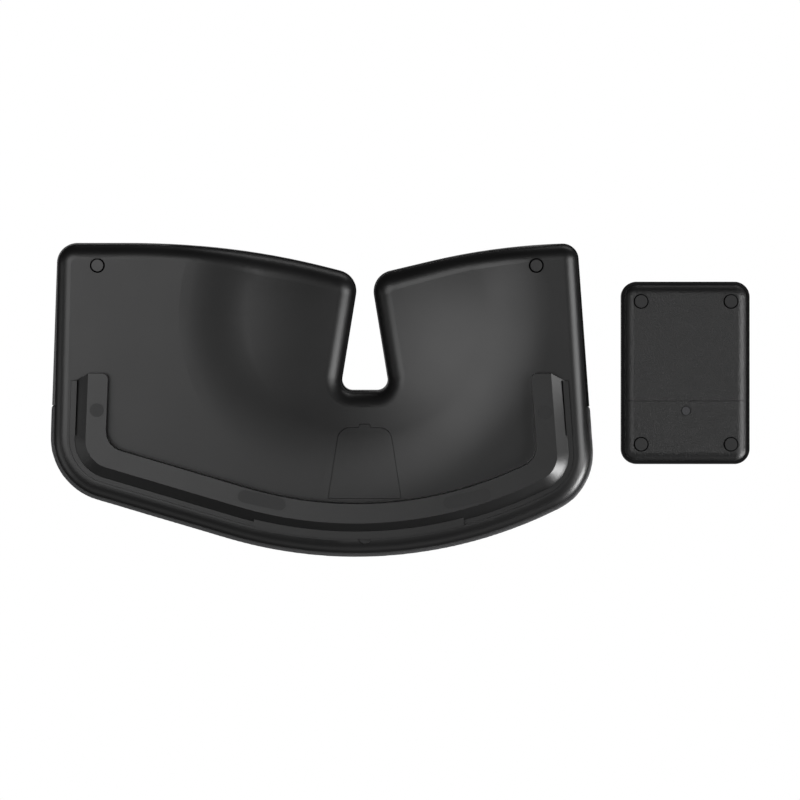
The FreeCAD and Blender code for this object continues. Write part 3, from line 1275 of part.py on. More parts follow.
def rounded_plate(label, level, thickness):
    """A flat plate under the keypad's deck: a sketched rectangle, padded, with rounded corners."""
    body = doc.addObject("PartDesign::Body", label)
    body.Label = label
    sketch = body.newObject("Sketcher::SketchObject", label + "_outline")
    ground = [item for item in body.Origin.OriginFeatures if item.Role == "XY_Plane"][0]
    sketch.AttachmentSupport = (ground, [""])
    sketch.MapMode = "FlatFace"
    sketch.AttachmentOffset = at(0, 0, level)
    half_x = pad_w / 2 - size("keypad_plate_inset")
    half_y = pad_d / 2 - size("keypad_plate_inset")
    signs = ((-1, -1), (1, -1), (1, 1), (-1, 1))
    corners = [Vector(side * half_x, end * half_y, 0) for side, end in signs]
    for number in range(4):
        sketch.addGeometry(Part.LineSegment(corners[number], corners[(number + 1) % 4]))
    for number in range(4):
        sketch.addConstraint(Sketcher.Constraint("Coincident", number, 2, (number + 1) % 4, 1))
    for number, direction in enumerate(("Horizontal", "Vertical", "Horizontal", "Vertical")):
        sketch.addConstraint(Sketcher.Constraint(direction, number))
    sketch.addConstraint(Sketcher.Constraint("Symmetric", 0, 1, 1, 2, -1, 1))
    width = sketch.addConstraint(Sketcher.Constraint("DistanceX", 0, 1, 0, 2, 2 * half_x))
    depth = sketch.addConstraint(Sketcher.Constraint("DistanceY", 1, 1, 1, 2, 2 * half_y))
    sketch.setExpression("Constraints[%d]" % width, "Sizes.keypad_width - 2 * Sizes.keypad_plate_inset")
    sketch.setExpression("Constraints[%d]" % depth, "Sizes.keypad_depth - 2 * Sizes.keypad_plate_inset")
    pad = body.newObject("PartDesign::Pad", label + "_pad")
    pad.Profile = sketch
    pad.setExpression("Length", thickness)
    doc.recompute()
    uprights = []
    for number, edge in enumerate(pad.Shape.Edges, 1):
        if abs(edge.tangentAt(edge.FirstParameter).z) > 0.99:
            uprights.append("Edge%d" % number)
    fillet = body.newObject("PartDesign::Fillet", label + "_corners")
    fillet.Base = (pad, uprights)
    fillet.setExpression("Radius", "Sizes.keypad_corner - Sizes.keypad_plate_inset")
    body.Placement = KEYPAD_PLACE
    pieces.append(body)


rounded_plate("keypad_base_plate", plate_level - size("plate_thickness"), "Sizes.plate_thickness")
rounded_plate("keypad_contact_sheet", plate_level, "Sizes.sheet_thickness")
pad_domes = []
pad_groups = {}
for cap in PAD_CAPS:
    dome = dome_solid()
    dome.Placement = cap.frame(FLAT)
    pad_domes.append(dome)
    pad_groups.setdefault(cap.group, []).append(cap_wedge(cap, FLAT))
piece("keypad_rubber_domes", Part.makeCompound(pad_domes), KEYPAD_PLACE)
for name, wedges in pad_groups.items():
    set_of(name, wedges, KEYPAD_PLACE)
keypad_board = bound(
    "Box", "keypad_board_plate", at(-20.0, -5.0, KEYPAD_BOARD_LEVEL),
    Length="Sizes.keypad_board_side", Width="Sizes.keypad_board_side", Height="Sizes.board_thickness",
)
keypad_chip = bound(
    "Box", "keypad_chip", at(-6.0, 5.0, KEYPAD_BOARD_LEVEL + size("board_thickness")),
    Length="Sizes.keypad_chip_side", Width="Sizes.keypad_chip_side", Height="Sizes.keypad_chip_height",
)
joined("keypad_board", [keypad_board, keypad_chip], KEYPAD_PLACE)
coin_place = at(0, size("coin_y"), deck_wall + COIN_LIFT)
coin = bound("Cylinder", "coin", coin_place, Radius="Sizes.coin_radius", Height="Sizes.coin_height")
set_of("keypad_coin_cell", [coin], KEYPAD_PLACE)

# Check every object, then write one file for each sub-part
doc.recompute()
for item in doc.Objects:
    if "Invalid" in item.State or "Error" in item.State:
        raise RuntimeError("%s did not compute" % item.Label)
for feature in pieces:
    if feature.Shape.isNull() or not feature.Shape.isValid():
        raise RuntimeError("%s has no valid shape" % feature.Label)
os.makedirs("parts", exist_ok=True)
for feature in pieces:
    feature.Shape.exportStep("parts/%s.step" % feature.Label)
print(len(pieces), "sub-parts written")
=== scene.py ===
# %% [markdown]
# # A domed keyboard and its keypad
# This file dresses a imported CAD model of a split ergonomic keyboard, which is photographed from
# below. The moulded cases, the riser and the feet come from the CAD as they are and get better
# materials. The key caps and the padded palm rest are built again here, with rounded edges,
# dished tops and a soft skin, because these forms are what the eye reads on such a product.

# %% Load the frame
import json
import math

import bmesh
import bpy
from mathutils import Matrix, Vector


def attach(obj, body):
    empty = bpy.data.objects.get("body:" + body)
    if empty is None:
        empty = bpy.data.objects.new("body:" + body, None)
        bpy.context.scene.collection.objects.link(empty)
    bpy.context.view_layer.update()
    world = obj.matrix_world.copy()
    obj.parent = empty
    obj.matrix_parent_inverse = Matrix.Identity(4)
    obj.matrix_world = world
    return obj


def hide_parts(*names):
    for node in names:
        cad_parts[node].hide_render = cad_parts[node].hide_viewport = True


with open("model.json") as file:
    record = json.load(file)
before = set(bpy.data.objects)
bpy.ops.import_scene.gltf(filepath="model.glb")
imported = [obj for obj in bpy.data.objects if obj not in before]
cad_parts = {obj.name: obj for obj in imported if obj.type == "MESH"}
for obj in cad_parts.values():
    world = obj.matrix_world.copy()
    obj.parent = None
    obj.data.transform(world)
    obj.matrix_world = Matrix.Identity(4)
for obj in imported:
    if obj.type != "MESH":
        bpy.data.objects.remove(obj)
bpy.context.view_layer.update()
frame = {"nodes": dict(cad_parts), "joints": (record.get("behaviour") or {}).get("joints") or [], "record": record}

MM = 0.001
nodes = frame["nodes"]
press_axis = {joint["child"]: Vector(joint["axis"]) for joint in frame["joints"]}

# %% [markdown]
# ## Writing shader maths as sums
# A material that varies needs many small Math nodes. Wired one by one they hide the idea, so one
# class wraps a node's output and turns Python's operators into Math nodes. A mottle of
# 0.4 + grain * 0.1 then reads like the sentence that it is.


# %% A socket that can be added and multiplied
class Value:
    """The output of a shader node, on which sums can be written."""

    def __init__(self, shading, socket):
        self.shading = shading
        self.socket = socket

    def sum(self, operation, left, right):
        return self.shading.node("Math", {"operation": operation}, {0: left, 1: right})

    def __add__(self, other):
        return self.sum("ADD", self, other)

    def __radd__(self, other):
        return self.sum("ADD", other, self)

    def __sub__(self, other):
        return self.sum("SUBTRACT", self, other)

    def __rsub__(self, other):
        return self.sum("SUBTRACT", other, self)

    def __mul__(self, other):
        return self.sum("MULTIPLY", self, other)

    def __rmul__(self, other):
        return self.sum("MULTIPLY", other, self)

    def __pow__(self, other):
        return self.sum("POWER", self, other)

    def __rpow__(self, other):
        return self.sum("POWER", other, self)

    def either(self, other):
        """The larger of two masks."""
        return self.sum("MAXIMUM", self, other)


# %% The one way to add a node
class Shading:
    """The nodes of a material or of the world."""

    def __init__(self, tree):
        self.tree = tree

    def fill(self, socket, value):
        if isinstance(value, Value):
            self.tree.links.new(value.socket, socket)
        else:
            socket.default_value = value

    def node(self, kind, settings, values, output=0):
        """Adds a node, sets it up, fills its sockets and returns one of its outputs."""
        made = self.tree.nodes.new("ShaderNode" + kind)
        for name, value in settings.items():
            setattr(made, name, value)
        for name, value in values.items():
            self.fill(made.inputs[name], value)
        return Value(self, made.outputs[output])

    def ray_is(self, kind):
        """1 for rays of a kind, such as Camera or Glossy, and 0 for the others."""
        return self.node("LightPath", {}, {}, "Is " + kind + " Ray")


# %% A material whose sockets are set by name
class Finish(Shading):
    """A material with a Principled shader."""

    def __init__(self, name):
        self.material = bpy.data.materials.new(name)
        self.material.use_nodes = True
        super().__init__(self.material.node_tree)
        self.shader = self.tree.nodes["Principled BSDF"]

    def dress(self, **sockets):
        """Sets the shader's own sockets: Base_Color stands for Base Color."""
        for name, value in sockets.items():
            self.fill(self.shader.inputs[name.replace("_", " ")], value)
        return self

    def place(self):
        """Where a point lies on the object, in metres, the same from every side."""
        return self.node("TexCoord", {}, {}, "Object")

    def noise(self, across, detail=2.0):
        """Soft mottle whose blotches are about as many millimetres across."""
        values = {"Vector": self.place(), "Scale": 1.0 / (across * MM), "Detail": detail}
        return self.node("TexNoise", {}, values)

    def cells(self, across, feature="F1"):
        """Distance to the nearest of many scattered points, in cells of a width in millimetres."""
        values = {"Vector": self.place(), "Scale": 1.0 / (across * MM)}
        return self.node("TexVoronoi", {"feature": feature}, values)

    def shades(self, dark, light, mask):
        """A colour between two greys or colours."""
        values = {"Factor": mask, 6: (*dark, 1.0), 7: (*light, 1.0)}
        return self.node("Mix", {"data_type": "RGBA"}, values, 2)

    def relief(self, height, depth, strength=1.0):
        """Turns a height from 0 to 1 into relief as deep as a length in millimetres."""
        values = {"Height": height, "Distance": depth * MM, "Strength": strength}
        return self.node("Bump", {}, values)


def grey(level):
    """A grey with a trace of blue, as black plastic has."""
    return (level, level, level * 1.03)


# %% [markdown]
# ## The moulded case
# The underside is one smooth satin moulding. Satin plastic is nearly black, so almost all that
# the eye gets from it is the soft reflection. Roughness therefore matters more than colour: it is
# kept at a middle value, with a slow mottle of the mould and a very fine tooth on the surface.


# %% Case plastic
def case_plastic():
    finish = Finish("satin case plastic")
    slow = finish.noise(38.0)
    tooth = finish.noise(0.35, 3.0)
    return finish.dress(
        Base_Color=finish.shades(grey(0.004), grey(0.006), slow),
        Specular_IOR_Level=0.8,
        Roughness=0.36 + slow * 0.07 + tooth * 0.03,
        Normal=finish.relief(tooth, 0.012, 0.5),
    )


# %% [markdown]
# The keypad's base has a spark-eroded grain: tiny rounded pits, about a millimetre apart, that
# break the reflection into sparkles. Cells give the pits and a noise makes them uneven.


# %% Grained keypad plastic
def grained_plastic():
    finish = Finish("grained keypad plastic")
    pits = finish.cells(1.2) * 0.7 + finish.noise(0.9, 3.0) * 0.6
    # The base colour follows the pits' depth: partly a random tone of the grain, partly painted shade in the pits.
    return finish.dress(
        Base_Color=finish.shades(grey(0.003), grey(0.007), pits),
        Specular_IOR_Level=0.8,
        Roughness=0.38 + pits * 0.12,
        Normal=finish.relief(pits, 0.28, 1.0),
    )


# %% [markdown]
# ## Rubber and a painted shadow
# Rubber is slightly lighter than the case. The riser's grip pads are dull and the feet a little
# smoother, so one function makes both from a few values. The black round each foot is painted
# shadow: a near-black, dull colour that stands for the shade in the gap round the foot.


# %% Rubber and painted shadow
def rubber(name, blotch, shine, roughness):
    finish = Finish(name)
    dust = finish.noise(blotch, 4.0)
    return finish.dress(
        Base_Color=finish.shades(grey(0.008), grey(0.016), dust),
        Specular_IOR_Level=shine,
        Roughness=roughness + dust * 0.1,
        Normal=finish.relief(dust, 0.03, 0.6),
    )


def painted_gap_shadow():
    # Painted shadow: a near-black, dull colour for the shade in the gap round each foot, not a real glue.
    finish = Finish("painted gap shadow")
    shadow_mottle = finish.noise(0.8, 3.0)
    return finish.dress(
        Base_Color=finish.shades(grey(0.001), grey(0.002), shadow_mottle),
        Specular_IOR_Level=0.1,
        Roughness=0.9 + shadow_mottle * 0.1,
    )


# %% [markdown]
# ## Deck, caps and legends
# The deck has a higher gloss than the caps, which makes the caps stand out from it. The caps have
# a fine tooth, and their legends are a pale ink, slightly worn.


# %% Deck, caps and ink
def deck_plastic():
    finish = Finish("semi-gloss deck plastic")
    slow = finish.noise(30.0)
    return finish.dress(
        Base_Color=finish.shades(grey(0.010), grey(0.013), slow),
        Roughness=0.17 + slow * 0.06,
        Normal=finish.relief(finish.noise(3.0), 0.01, 0.3),
    )


def cap_plastic():
    finish = Finish("matt cap plastic")
    tooth = finish.cells(0.4)
    slow = finish.noise(9.0)
    return finish.dress(
        Base_Color=finish.shades(grey(0.014), grey(0.019), slow),
        Roughness=0.52 + tooth * 0.1,
        Normal=finish.relief(tooth, 0.02, 0.5),
    )


def legend_ink():
    finish = Finish("legend ink")
    worn = finish.noise(2.0, 3.0)
    return finish.dress(
        Base_Color=finish.shades((0.56, 0.57, 0.58), (0.66, 0.67, 0.68), worn),
        Roughness=0.55 + worn * 0.1,
    )


# %% [markdown]
# ## Plain plastics and metals
# Small parts, and what lies inside, need little more than a colour with a slight mottle. One
# function makes every plain plastic and another every metal, so that each of them is a single
# line in the list further down.


# %% Plain plastics and metals
def plain_plastic(name, colour, roughness):
    finish = Finish(name)
    slow = finish.noise(12.0)
    darker = tuple(level * 0.8 for level in colour)
    return finish.dress(
        Base_Color=finish.shades(darker, colour, slow),
        Roughness=roughness + slow * 0.08,
        Normal=finish.relief(finish.noise(0.5), 0.01, 0.4),
    )


def metal(name, colour, roughness):
    finish = Finish(name)
    mottle = finish.noise(0.8, 5.0)
    darker = tuple(level * 0.82 for level in colour)
    return finish.dress(
        Base_Color=finish.shades(darker, colour, mottle),
        Metallic=1.0,
        Roughness=roughness + mottle * 0.1,
    )


# %% [markdown]
# ## Leatherette
# Leatherette is a film over foam. Its grain is a net of soft creases round small plump islands,
# so the distance to the edge of a Voronoi cell gives the creases, and a finer noise the skin.


# %% Leatherette of the palm rest
def leatherette():
    finish = Finish("palm rest leatherette")
    creases = finish.cells(1.5, "DISTANCE_TO_EDGE") ** 0.5
    skin = finish.noise(0.5, 3.0)
    height = creases * 0.8 + skin * 0.25
    # The base colour follows the relief's height, so it is darker in the creases: painted shade in the creases.
    return finish.dress(
        Base_Color=finish.shades(grey(0.055), grey(0.095), height),
        Roughness=0.62 - creases * 0.14 + skin * 0.08,
        Normal=finish.relief(height, 0.16, 0.8),
    )


# %% [markdown]
# ## Dressing the CAD nodes
# The record names a slot for every CAD node, such as grip_rubber. One list turns each slot into
# a finish, so that pieces of one material can't drift apart.

# %% Give every slot its finish
FINISHES = {
    "case_plastic": case_plastic(),
    "keypad_plastic": grained_plastic(),
    "frame_plastic": deck_plastic(),
    "key_plastic": cap_plastic(),
    "inner_plastic": plain_plastic("plain inner plastic", grey(0.03), 0.5),
    "switch_plastic": plain_plastic("switch plastic", grey(0.05), 0.45),
    "window": plain_plastic("smoked window", (0.02, 0.03, 0.02), 0.1),
    "contact_film": plain_plastic("contact film", (0.16, 0.2, 0.19), 0.3),
    "board": plain_plastic("circuit board", (0.01, 0.10, 0.035), 0.4),
    "dome_rubber": plain_plastic("silicone rubber", (0.28, 0.29, 0.31), 0.5),
    "palm_rest_skin": leatherette(),
    "foot_rubber": rubber("smooth foot rubber", 1.2, 0.8, 0.36),
    "grip_rubber": rubber("dull rubber", 1.6, 0.6, 0.44),
    "steel_plate": metal("steel plate", (0.42, 0.42, 0.43), 0.35),
    "cell_can": metal("cell can", (0.10, 0.16, 0.24), 0.3),
    "contact_metal": metal("nickel contact", (0.6, 0.58, 0.54), 0.25),
    "screw_steel": metal("dark plated steel", (0.20, 0.20, 0.21), 0.3),
    "magnet": metal("plated magnet", (0.5, 0.5, 0.52), 0.2),
}
CAD_SHARP_FROM = math.radians(28.0)
slot_of = {part["node"]: part["material_slot"] for part in frame["record"]["subparts"]}
for name, node in nodes.items():
    node.data.materials.clear()
    node.data.materials.append(FINISHES[slot_of[name]].material)
    node.data.shade_smooth()
    node.data.set_sharp_from_angle(angle=CAD_SHARP_FROM)
print(len(FINISHES), "finishes on", len(nodes), "nodes")

# %% [markdown]
# ## Making a piece
# Everything that is built here ends in the same way: a mesh becomes an object, gets a finish,
# rides on a body of the CAD model and may stand in for a CAD node. One helper does it. Another
# finds the separate solids of a CAD node, because a node may hold a whole row of keys or feet.

# %% Find the separate solids in a CAD node
WELD = 0.001 * MM


def islands(node):
    """The separate solids of a node, each as a list of its corner points."""
    work = bmesh.new()
    work.from_mesh(node.data)
    bmesh.ops.remove_doubles(work, verts=work.verts, dist=WELD)
    left = set(work.verts)
    found = []
    while left:
        start = left.pop()
        group, open_ends = [start], [start]
        while open_ends:
            for edge in open_ends.pop().link_edges:
                for vert in edge.verts:
                    if vert in left:
                        left.remove(vert)
                        group.append(vert)
                        open_ends.append(vert)
        found.append([vert.co.copy() for vert in group])
    work.free()
    return found


# %% Turn a finished bmesh into a piece
PIECE_SHARP_FROM = math.radians(50.0)


def piece_from(work, name, finish_slot, body, *replaced, look=None):
    """Makes an object of a mesh, gives it a finish, and lets it ride on a body."""
    mesh = bpy.data.meshes.new(name)
    work.to_mesh(mesh)
    work.free()
    made = bpy.data.objects.new(name, mesh)
    bpy.context.scene.collection.objects.link(made)
    mesh.materials.append((look or FINISHES[finish_slot]).material)
    mesh.shade_smooth()
    mesh.set_sharp_from_angle(angle=PIECE_SHARP_FROM)
    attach(made, body)
    if replaced:
        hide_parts(*replaced)
    return made


def bridge(work, lower, upper):
    """Joins two rings of as many points with a band of faces."""
    total = len(lower)
    for number in range(total):
        following = (number + 1) % total
        work.faces.new((lower[number], lower[following], upper[following], upper[number]))


# %% [markdown]
# ## The painted shadow round the feet
# Each foot sits in a round seat that is a little wider than itself. Seen straight on, the gap
# round it is what draws the foot, as a thin black ring of shade. That shade is painted: a flat
# near-black ring on the seat's floor is enough, because only its face is ever seen.

# %% A ring of painted shadow round every foot
RING_STEPS = 40
UNDER_FOOT = 0.1 * MM
SHADOW_RING_DROP = 0.05 * MM
GAP_SHADOW_PAINT = painted_gap_shadow()
SEATS = {
    "rear_feet": ("keyboard", 5.35 * MM),
    "keypad_case_feet": ("keyboard", 5.3 * MM),
    "keypad_door_feet": ("keypad_door", 5.3 * MM),
}


def painted_shadow_ring(work, points, outer):
    """Adds a flat ring of painted shadow round a disc-shaped foot, just below the foot's own top."""
    middle = sum(points, Vector()) / len(points)
    inner = max((point - middle).to_2d().length for point in points) - UNDER_FOOT
    level = max(point.z for point in points) - SHADOW_RING_DROP
    rows = []
    for radius in (inner, outer):
        row = []
        for step in range(RING_STEPS):
            turn = math.tau * step / RING_STEPS
            place = (middle.x + radius * math.cos(turn), middle.y + radius * math.sin(turn), level)
            row.append(work.verts.new(place))
        rows.append(row)
    bridge(work, *rows)


# Each foot gets a ring of painted shadow, on the body that carries the foot.
for name, (body, outer) in SEATS.items():
    work = bmesh.new()
    for points in islands(nodes[name]):
        painted_shadow_ring(work, points, outer)
    piece_from(work, name + "_painted_shadow", "foot_rubber", body, look=GAP_SHADOW_PAINT)
print("painted shadow rings under", list(SEATS))

# %% [markdown]
# ## Key caps
# A real cap is a shell with rounded corners, a rolled upper edge and a shallow dish that guides
# the finger. The CAD holds each as a plain tapered block, which is right for collision but looks
# hard. Each block's eight corners say where its cap sits, so the caps are grown from rings: a
# rounded rectangle per level, drawn in towards the top, then across the dished face.


# %% Measure a block: its own axes, half sizes and height
class Block:
    """A tapered CAD block: X along the row, Y to the rear, Z out of the deck."""

    def __init__(self, points, up):
        points = sorted(points, key=lambda point: point.dot(up))
        low, high = points[:4], points[4:]
        self.foot = sum(low, Vector()) / 4
        self.top = sum(high, Vector()) / 4
        self.up = (self.top - self.foot).normalized()
        by_x = sorted(high, key=lambda point: point.x)
        along = (by_x[2] + by_x[3]) / 2 - (by_x[0] + by_x[1]) / 2
        self.right = (along - self.up * along.dot(self.up)).normalized()
        self.back = self.up.cross(self.right)
        self.height = (self.top - self.foot).length
        self.low_half = self.half_sizes(low, self.foot)
        self.high_half = self.half_sizes(high, self.top)

    def half_sizes(self, points, middle):
        across = max((point - middle).dot(self.right) for point in points)
        deep = max((point - middle).dot(self.back) for point in points)
        return across, deep

    def world(self, x, y, z):
        return self.foot + self.right * x + self.back * y + self.up * z


# %% The rounded rectangle and the dish
CORNER_STEPS = 5
DISH = 0.55 * MM
DISH_REACH = 9.0 * MM


def ring(half_x, half_y, radius):
    """Points of a rounded rectangle, counter-clockwise."""
    points = []
    corners = ((1, 1, 0), (-1, 1, 90), (-1, -1, 180), (1, -1, 270))
    for side_x, side_y, first in corners:
        for step in range(CORNER_STEPS + 1):
            turn = math.radians(first + 90.0 * step / CORNER_STEPS)
            x = side_x * (half_x - radius) + radius * math.cos(turn)
            y = side_y * (half_y - radius) + radius * math.sin(turn)
            points.append((x, y))
    return points


def dish_drop(block, x):
    """How far the dished face lies below the rim, at a place along the row."""
    reach = min(block.high_half[0], DISH_REACH)
    return DISH * max(0.0, 1.0 - (x / reach) ** 2)


# %% Grow one cap from rings
EDGE_ROLL = 0.9 * MM
CAP_CORNER = 1.7 * MM
ROLL_TURNS = (30.0, 60.0, 90.0)
FACE_SHARES = (0.9, 0.7, 0.45, 0.2)
TIGHTEST_CORNER = 0.8
EASE_IN = 3.0


def cap_rings(block):
    """Every ring of a cap from its skirt to the middle of its face."""
    rings = []
    for share in (0.0, 0.5, 1.0 - EDGE_ROLL / block.height):
        half = [low + (high - low) * share for low, high in zip(block.low_half, block.high_half)]
        rings.append([(x, y, block.height * share) for x, y in ring(*half, CAP_CORNER)])
    half_x, half_y = block.high_half
    for turn in ROLL_TURNS:
        back_in = EDGE_ROLL * (1.0 - math.cos(math.radians(turn)))
        drop = EDGE_ROLL * (1.0 - math.sin(math.radians(turn)))
        flat = ring(half_x - back_in, half_y - back_in, CAP_CORNER)
        rings.append([(x, y, block.height - drop) for x, y in flat])
    for share in FACE_SHARES:
        inner_x = (half_x - EDGE_ROLL) * share
        inner_y = (half_y - EDGE_ROLL) * share
        flat = ring(inner_x, inner_y, min(CAP_CORNER, inner_y * TIGHTEST_CORNER))
        easing = min(1.0, (1.0 - share) * EASE_IN)
        rings.append([(x, y, block.height - dish_drop(block, x) * easing) for x, y in flat])
    return rings


def add_cap(work, block):
    """Adds one cap to a mesh."""
    rings = [[work.verts.new(block.world(*point)) for point in flat] for flat in cap_rings(block)]
    for lower, upper in zip(rings, rings[1:]):
        bridge(work, lower, upper)
    work.faces.new(list(reversed(rings[0])))
    work.faces.new(rings[-1])


# %% Build the caps of every group
KEY_GROUPS = [
    name for name, slot in slot_of.items() if slot == "key_plastic" and name != "space_bar"
]
MANY_ROWS = ("navigation_keys", "keypad_number_keys", "arrow_keys")
ROW_DEPTH = 8 * MM


def by_row(block):
    """Rear rows first, and each row from left to right."""
    return -round(block.top.y / ROW_DEPTH), block.top.x


def by_column(block):
    return block.top.x


blocks = {}
for name in KEY_GROUPS:
    up = -press_axis[name]
    order = by_row if name in MANY_ROWS else by_column
    blocks[name] = sorted((Block(points, up) for points in islands(nodes[name])), key=order)
    work = bmesh.new()
    for block in blocks[name]:
        add_cap(work, block)
    piece_from(work, name.replace("_key", "_cap"), "key_plastic", name, name)
print(sum(len(found) for found in blocks.values()), "caps in", len(blocks), "groups")

# %% [markdown]
# ## The space bar
# The space bar follows two arcs, so it isn't a tapered block. Its CAD solid already has the right
# plan and crown. A bevel rolls its edges, which is all that it lacks.

# %% Space bar with rolled edges
FLAT_WITHIN = math.radians(1.5)
ROLLED_FROM = math.radians(50.0)
ROLL_SEGMENTS = 3


def rolled_copy(node_name, width, segments):
    """The mesh of a CAD node with its sharp edges rolled."""
    work = bmesh.new()
    work.from_mesh(nodes[node_name].data)
    bmesh.ops.remove_doubles(work, verts=work.verts, dist=WELD)
    bmesh.ops.dissolve_limit(work, angle_limit=FLAT_WITHIN, verts=work.verts, edges=work.edges)
    edges = [
        edge for edge in work.edges
        if len(edge.link_faces) == 2 and edge.calc_face_angle() > ROLLED_FROM
    ]
    bmesh.ops.bevel(
        work, geom=edges, offset=width, segments=segments, profile=0.5,
        affect="EDGES", clamp_overlap=True,
    )
    return work


bar_mesh = rolled_copy("space_bar", EDGE_ROLL, ROLL_SEGMENTS)
bar = piece_from(bar_mesh, "space_bar_cap", "key_plastic", "space_bar", "space_bar")
print("space bar faces:", len(bar.data.polygons))

# %% [markdown]
# ## Legends
# Keys carry plain letters and words. Blender's own font makes them as flat outlines, which are
# then bent onto each dished face, a hair above it, so that they catch the light as ink does.

# %% What each key says
LEGENDS = {
    "escape_key": ["Esc"],
    "left_function_keys": ["F1", "F2", "F3", "F4", "F5"],
    "right_function_keys": ["F6", "F7", "F8", "F9", "F10", "F11", "F12", "PrtSc"],
    "left_number_keys": ["`", "1", "2", "3", "4", "5", "6"],
    "right_number_keys": ["7", "8", "9", "0", "-", "="],
    "backspace_key": ["Backspace"],
    "tab_key": ["Tab"],
    "left_top_letter_keys": list("QWERT"),
    "right_top_letter_keys": list("YUIOP[]") + ["\\"],
    "caps_lock_key": ["Caps Lock"],
    "left_home_letter_keys": list("ASDFG"),
    "right_home_letter_keys": list("HJKL;'"),
    "enter_key": ["Enter"],
    "left_shift_key": ["Shift"],
    "left_bottom_letter_keys": list("ZXCVB"),
    "right_bottom_letter_keys": list("NM,./"),
    "right_shift_key": ["Shift"],
    "left_modifier_keys": ["Ctrl", "Menu", "Alt"],
    "right_modifier_keys": ["Alt", "Fn", "Ctrl"],
    "navigation_keys": ["Home", "PgUp", "End", "PgDn", "Ins", "Del"],
    "arrow_keys": ["Up", "Left", "Down", "Right"],
    "keypad_function_keys": ["Calc", "(", ")", "Back"],
    "keypad_operator_keys": ["Num", "/", "*", "-"],
    "keypad_number_keys": ["7", "8", "9", "4", "5", "6", "1", "2", "3", "."],
    "keypad_zero_key": ["0"],
    "keypad_plus_key": ["+"],
    "keypad_enter_key": ["Enter"],
}

# %% Lay a word on a cap
LETTER_SIZE = 4.4 * MM
WORD_SIZE = 2.7 * MM
FROM_LEFT = 2.3 * MM
FROM_REAR = 4.2 * MM
SHALLOW_CAP = 6.0 * MM
DISH_UNDER_WORD = 0.45
INK_LIFT = 0.03 * MM


def word_mesh(text):
    """The flat outline of a word, filled, in the word's own plane."""
    curve = bpy.data.curves.new("word", "FONT")
    curve.body = text
    curve.size = LETTER_SIZE if len(text) == 1 else WORD_SIZE
    curve.align_x = "LEFT"
    curve.align_y = "CENTER"
    curve.resolution_u = 3
    word = bpy.data.objects.new("word", curve)
    mesh = bpy.data.meshes.new_from_object(word)
    bpy.data.objects.remove(word)
    bpy.data.curves.remove(curve)
    return mesh


def lay_word(work, text, block):
    """Adds a word to a mesh, bent onto the face of a cap."""
    mesh = word_mesh(text)
    half_x, half_y = block.high_half
    left = -half_x + FROM_LEFT
    rear = half_y - FROM_REAR if half_y > SHALLOW_CAP else 0.0
    first = len(work.verts)
    work.from_mesh(mesh)
    work.verts.ensure_lookup_table()
    for vert in work.verts[first:]:
        x, y = left + vert.co.x, rear + vert.co.y
        level = block.height - DISH_UNDER_WORD * dish_drop(block, x) + INK_LIFT
        vert.co = block.world(x, y, level)
    bpy.data.meshes.remove(mesh)


# %% Legends for every group
LEGEND_INK = legend_ink()
for name, words in LEGENDS.items():
    if len(words) != len(blocks[name]):
        print("legend count differs for", name, len(words), len(blocks[name]))
    work = bmesh.new()
    for text, block in zip(words, blocks[name]):
        lay_word(work, text, block)
    piece_from(work, name.replace("_key", "_legend"), "key_plastic", name, look=LEGEND_INK)
print("legends on", len(LEGENDS), "groups")

# %% [markdown]
# ## The padded palm rest
# The rest is leatherette drawn over foam. The CAD solid is exact but has hard lines where the
# skin tucks under. A voxel remesh turns it into even small faces, and smoothing softens those
# lines. Foam bulges most at its rim, so the rim is then pushed outwards, away from a point behind
# it. A cloth simulation would find the bulge by itself, and this way only imitates it.

# %% Swell the rim
SWELL = 0.7 * MM
BEHIND = Vector((25.6 * MM, 60.0 * MM))


def swell_rim(mesh):
    """Pushes the rim outwards in front and at the sides, where the foam bulges most."""
    for vert in mesh.vertices:
        away = (vert.co.to_2d() - BEHIND).normalized()
        facing = max(0.0, vert.normal.to_2d().dot(away))
        vert.co += Vector((away.x, away.y, 0.0)) * SWELL * facing


# %% Palm rest skin
VOXEL = 1.2 * MM
RELAX_FACTOR = 0.5
RELAX_ROUNDS = 4
KEPT_SHARE = 0.3


def soft_copy(node_name, name):
    """A remeshed and relaxed copy of a CAD solid."""
    mesh = nodes[node_name].data.copy()
    made = bpy.data.objects.new(name, mesh)
    bpy.context.scene.collection.objects.link(made)
    remesh = made.modifiers.new("even faces", "REMESH")
    remesh.mode = "VOXEL"
    remesh.voxel_size = VOXEL
    relax = made.modifiers.new("relax", "SMOOTH")
    relax.factor = RELAX_FACTOR
    relax.iterations = RELAX_ROUNDS
    thin_out = made.modifiers.new("fewer faces", "DECIMATE")
    thin_out.ratio = KEPT_SHARE
    graph = bpy.context.evaluated_depsgraph_get()
    baked = bpy.data.meshes.new_from_object(made.evaluated_get(graph))
    made.modifiers.clear()
    made.data = baked
    swell_rim(baked)
    baked.shade_smooth()
    return made


palm_skin = soft_copy("palm_rest_cover", "palm_rest_skin")
palm_skin.data.materials.clear()
palm_skin.data.materials.append(FINISHES["palm_rest_skin"].material)
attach(palm_skin, "keyboard")
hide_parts("palm_rest_cover")
print("palm rest faces:", len(palm_skin.data.polygons))

# %% [markdown]
# ## The world
# The photograph looks straight up at the underside against pure white. White is what the camera
# sees behind the object, not light that falls on it, so the world is white to camera and
# transmission rays, and a dim grey to diffuse ones. A mirrored white would turn the satin black
# grey, which the photograph doesn't show, so glossy rays find it nearly dark. Only straight above
# is there a faint pale patch, for the deck and the caps. The price is that shiny metal mirrors a
# dark room.

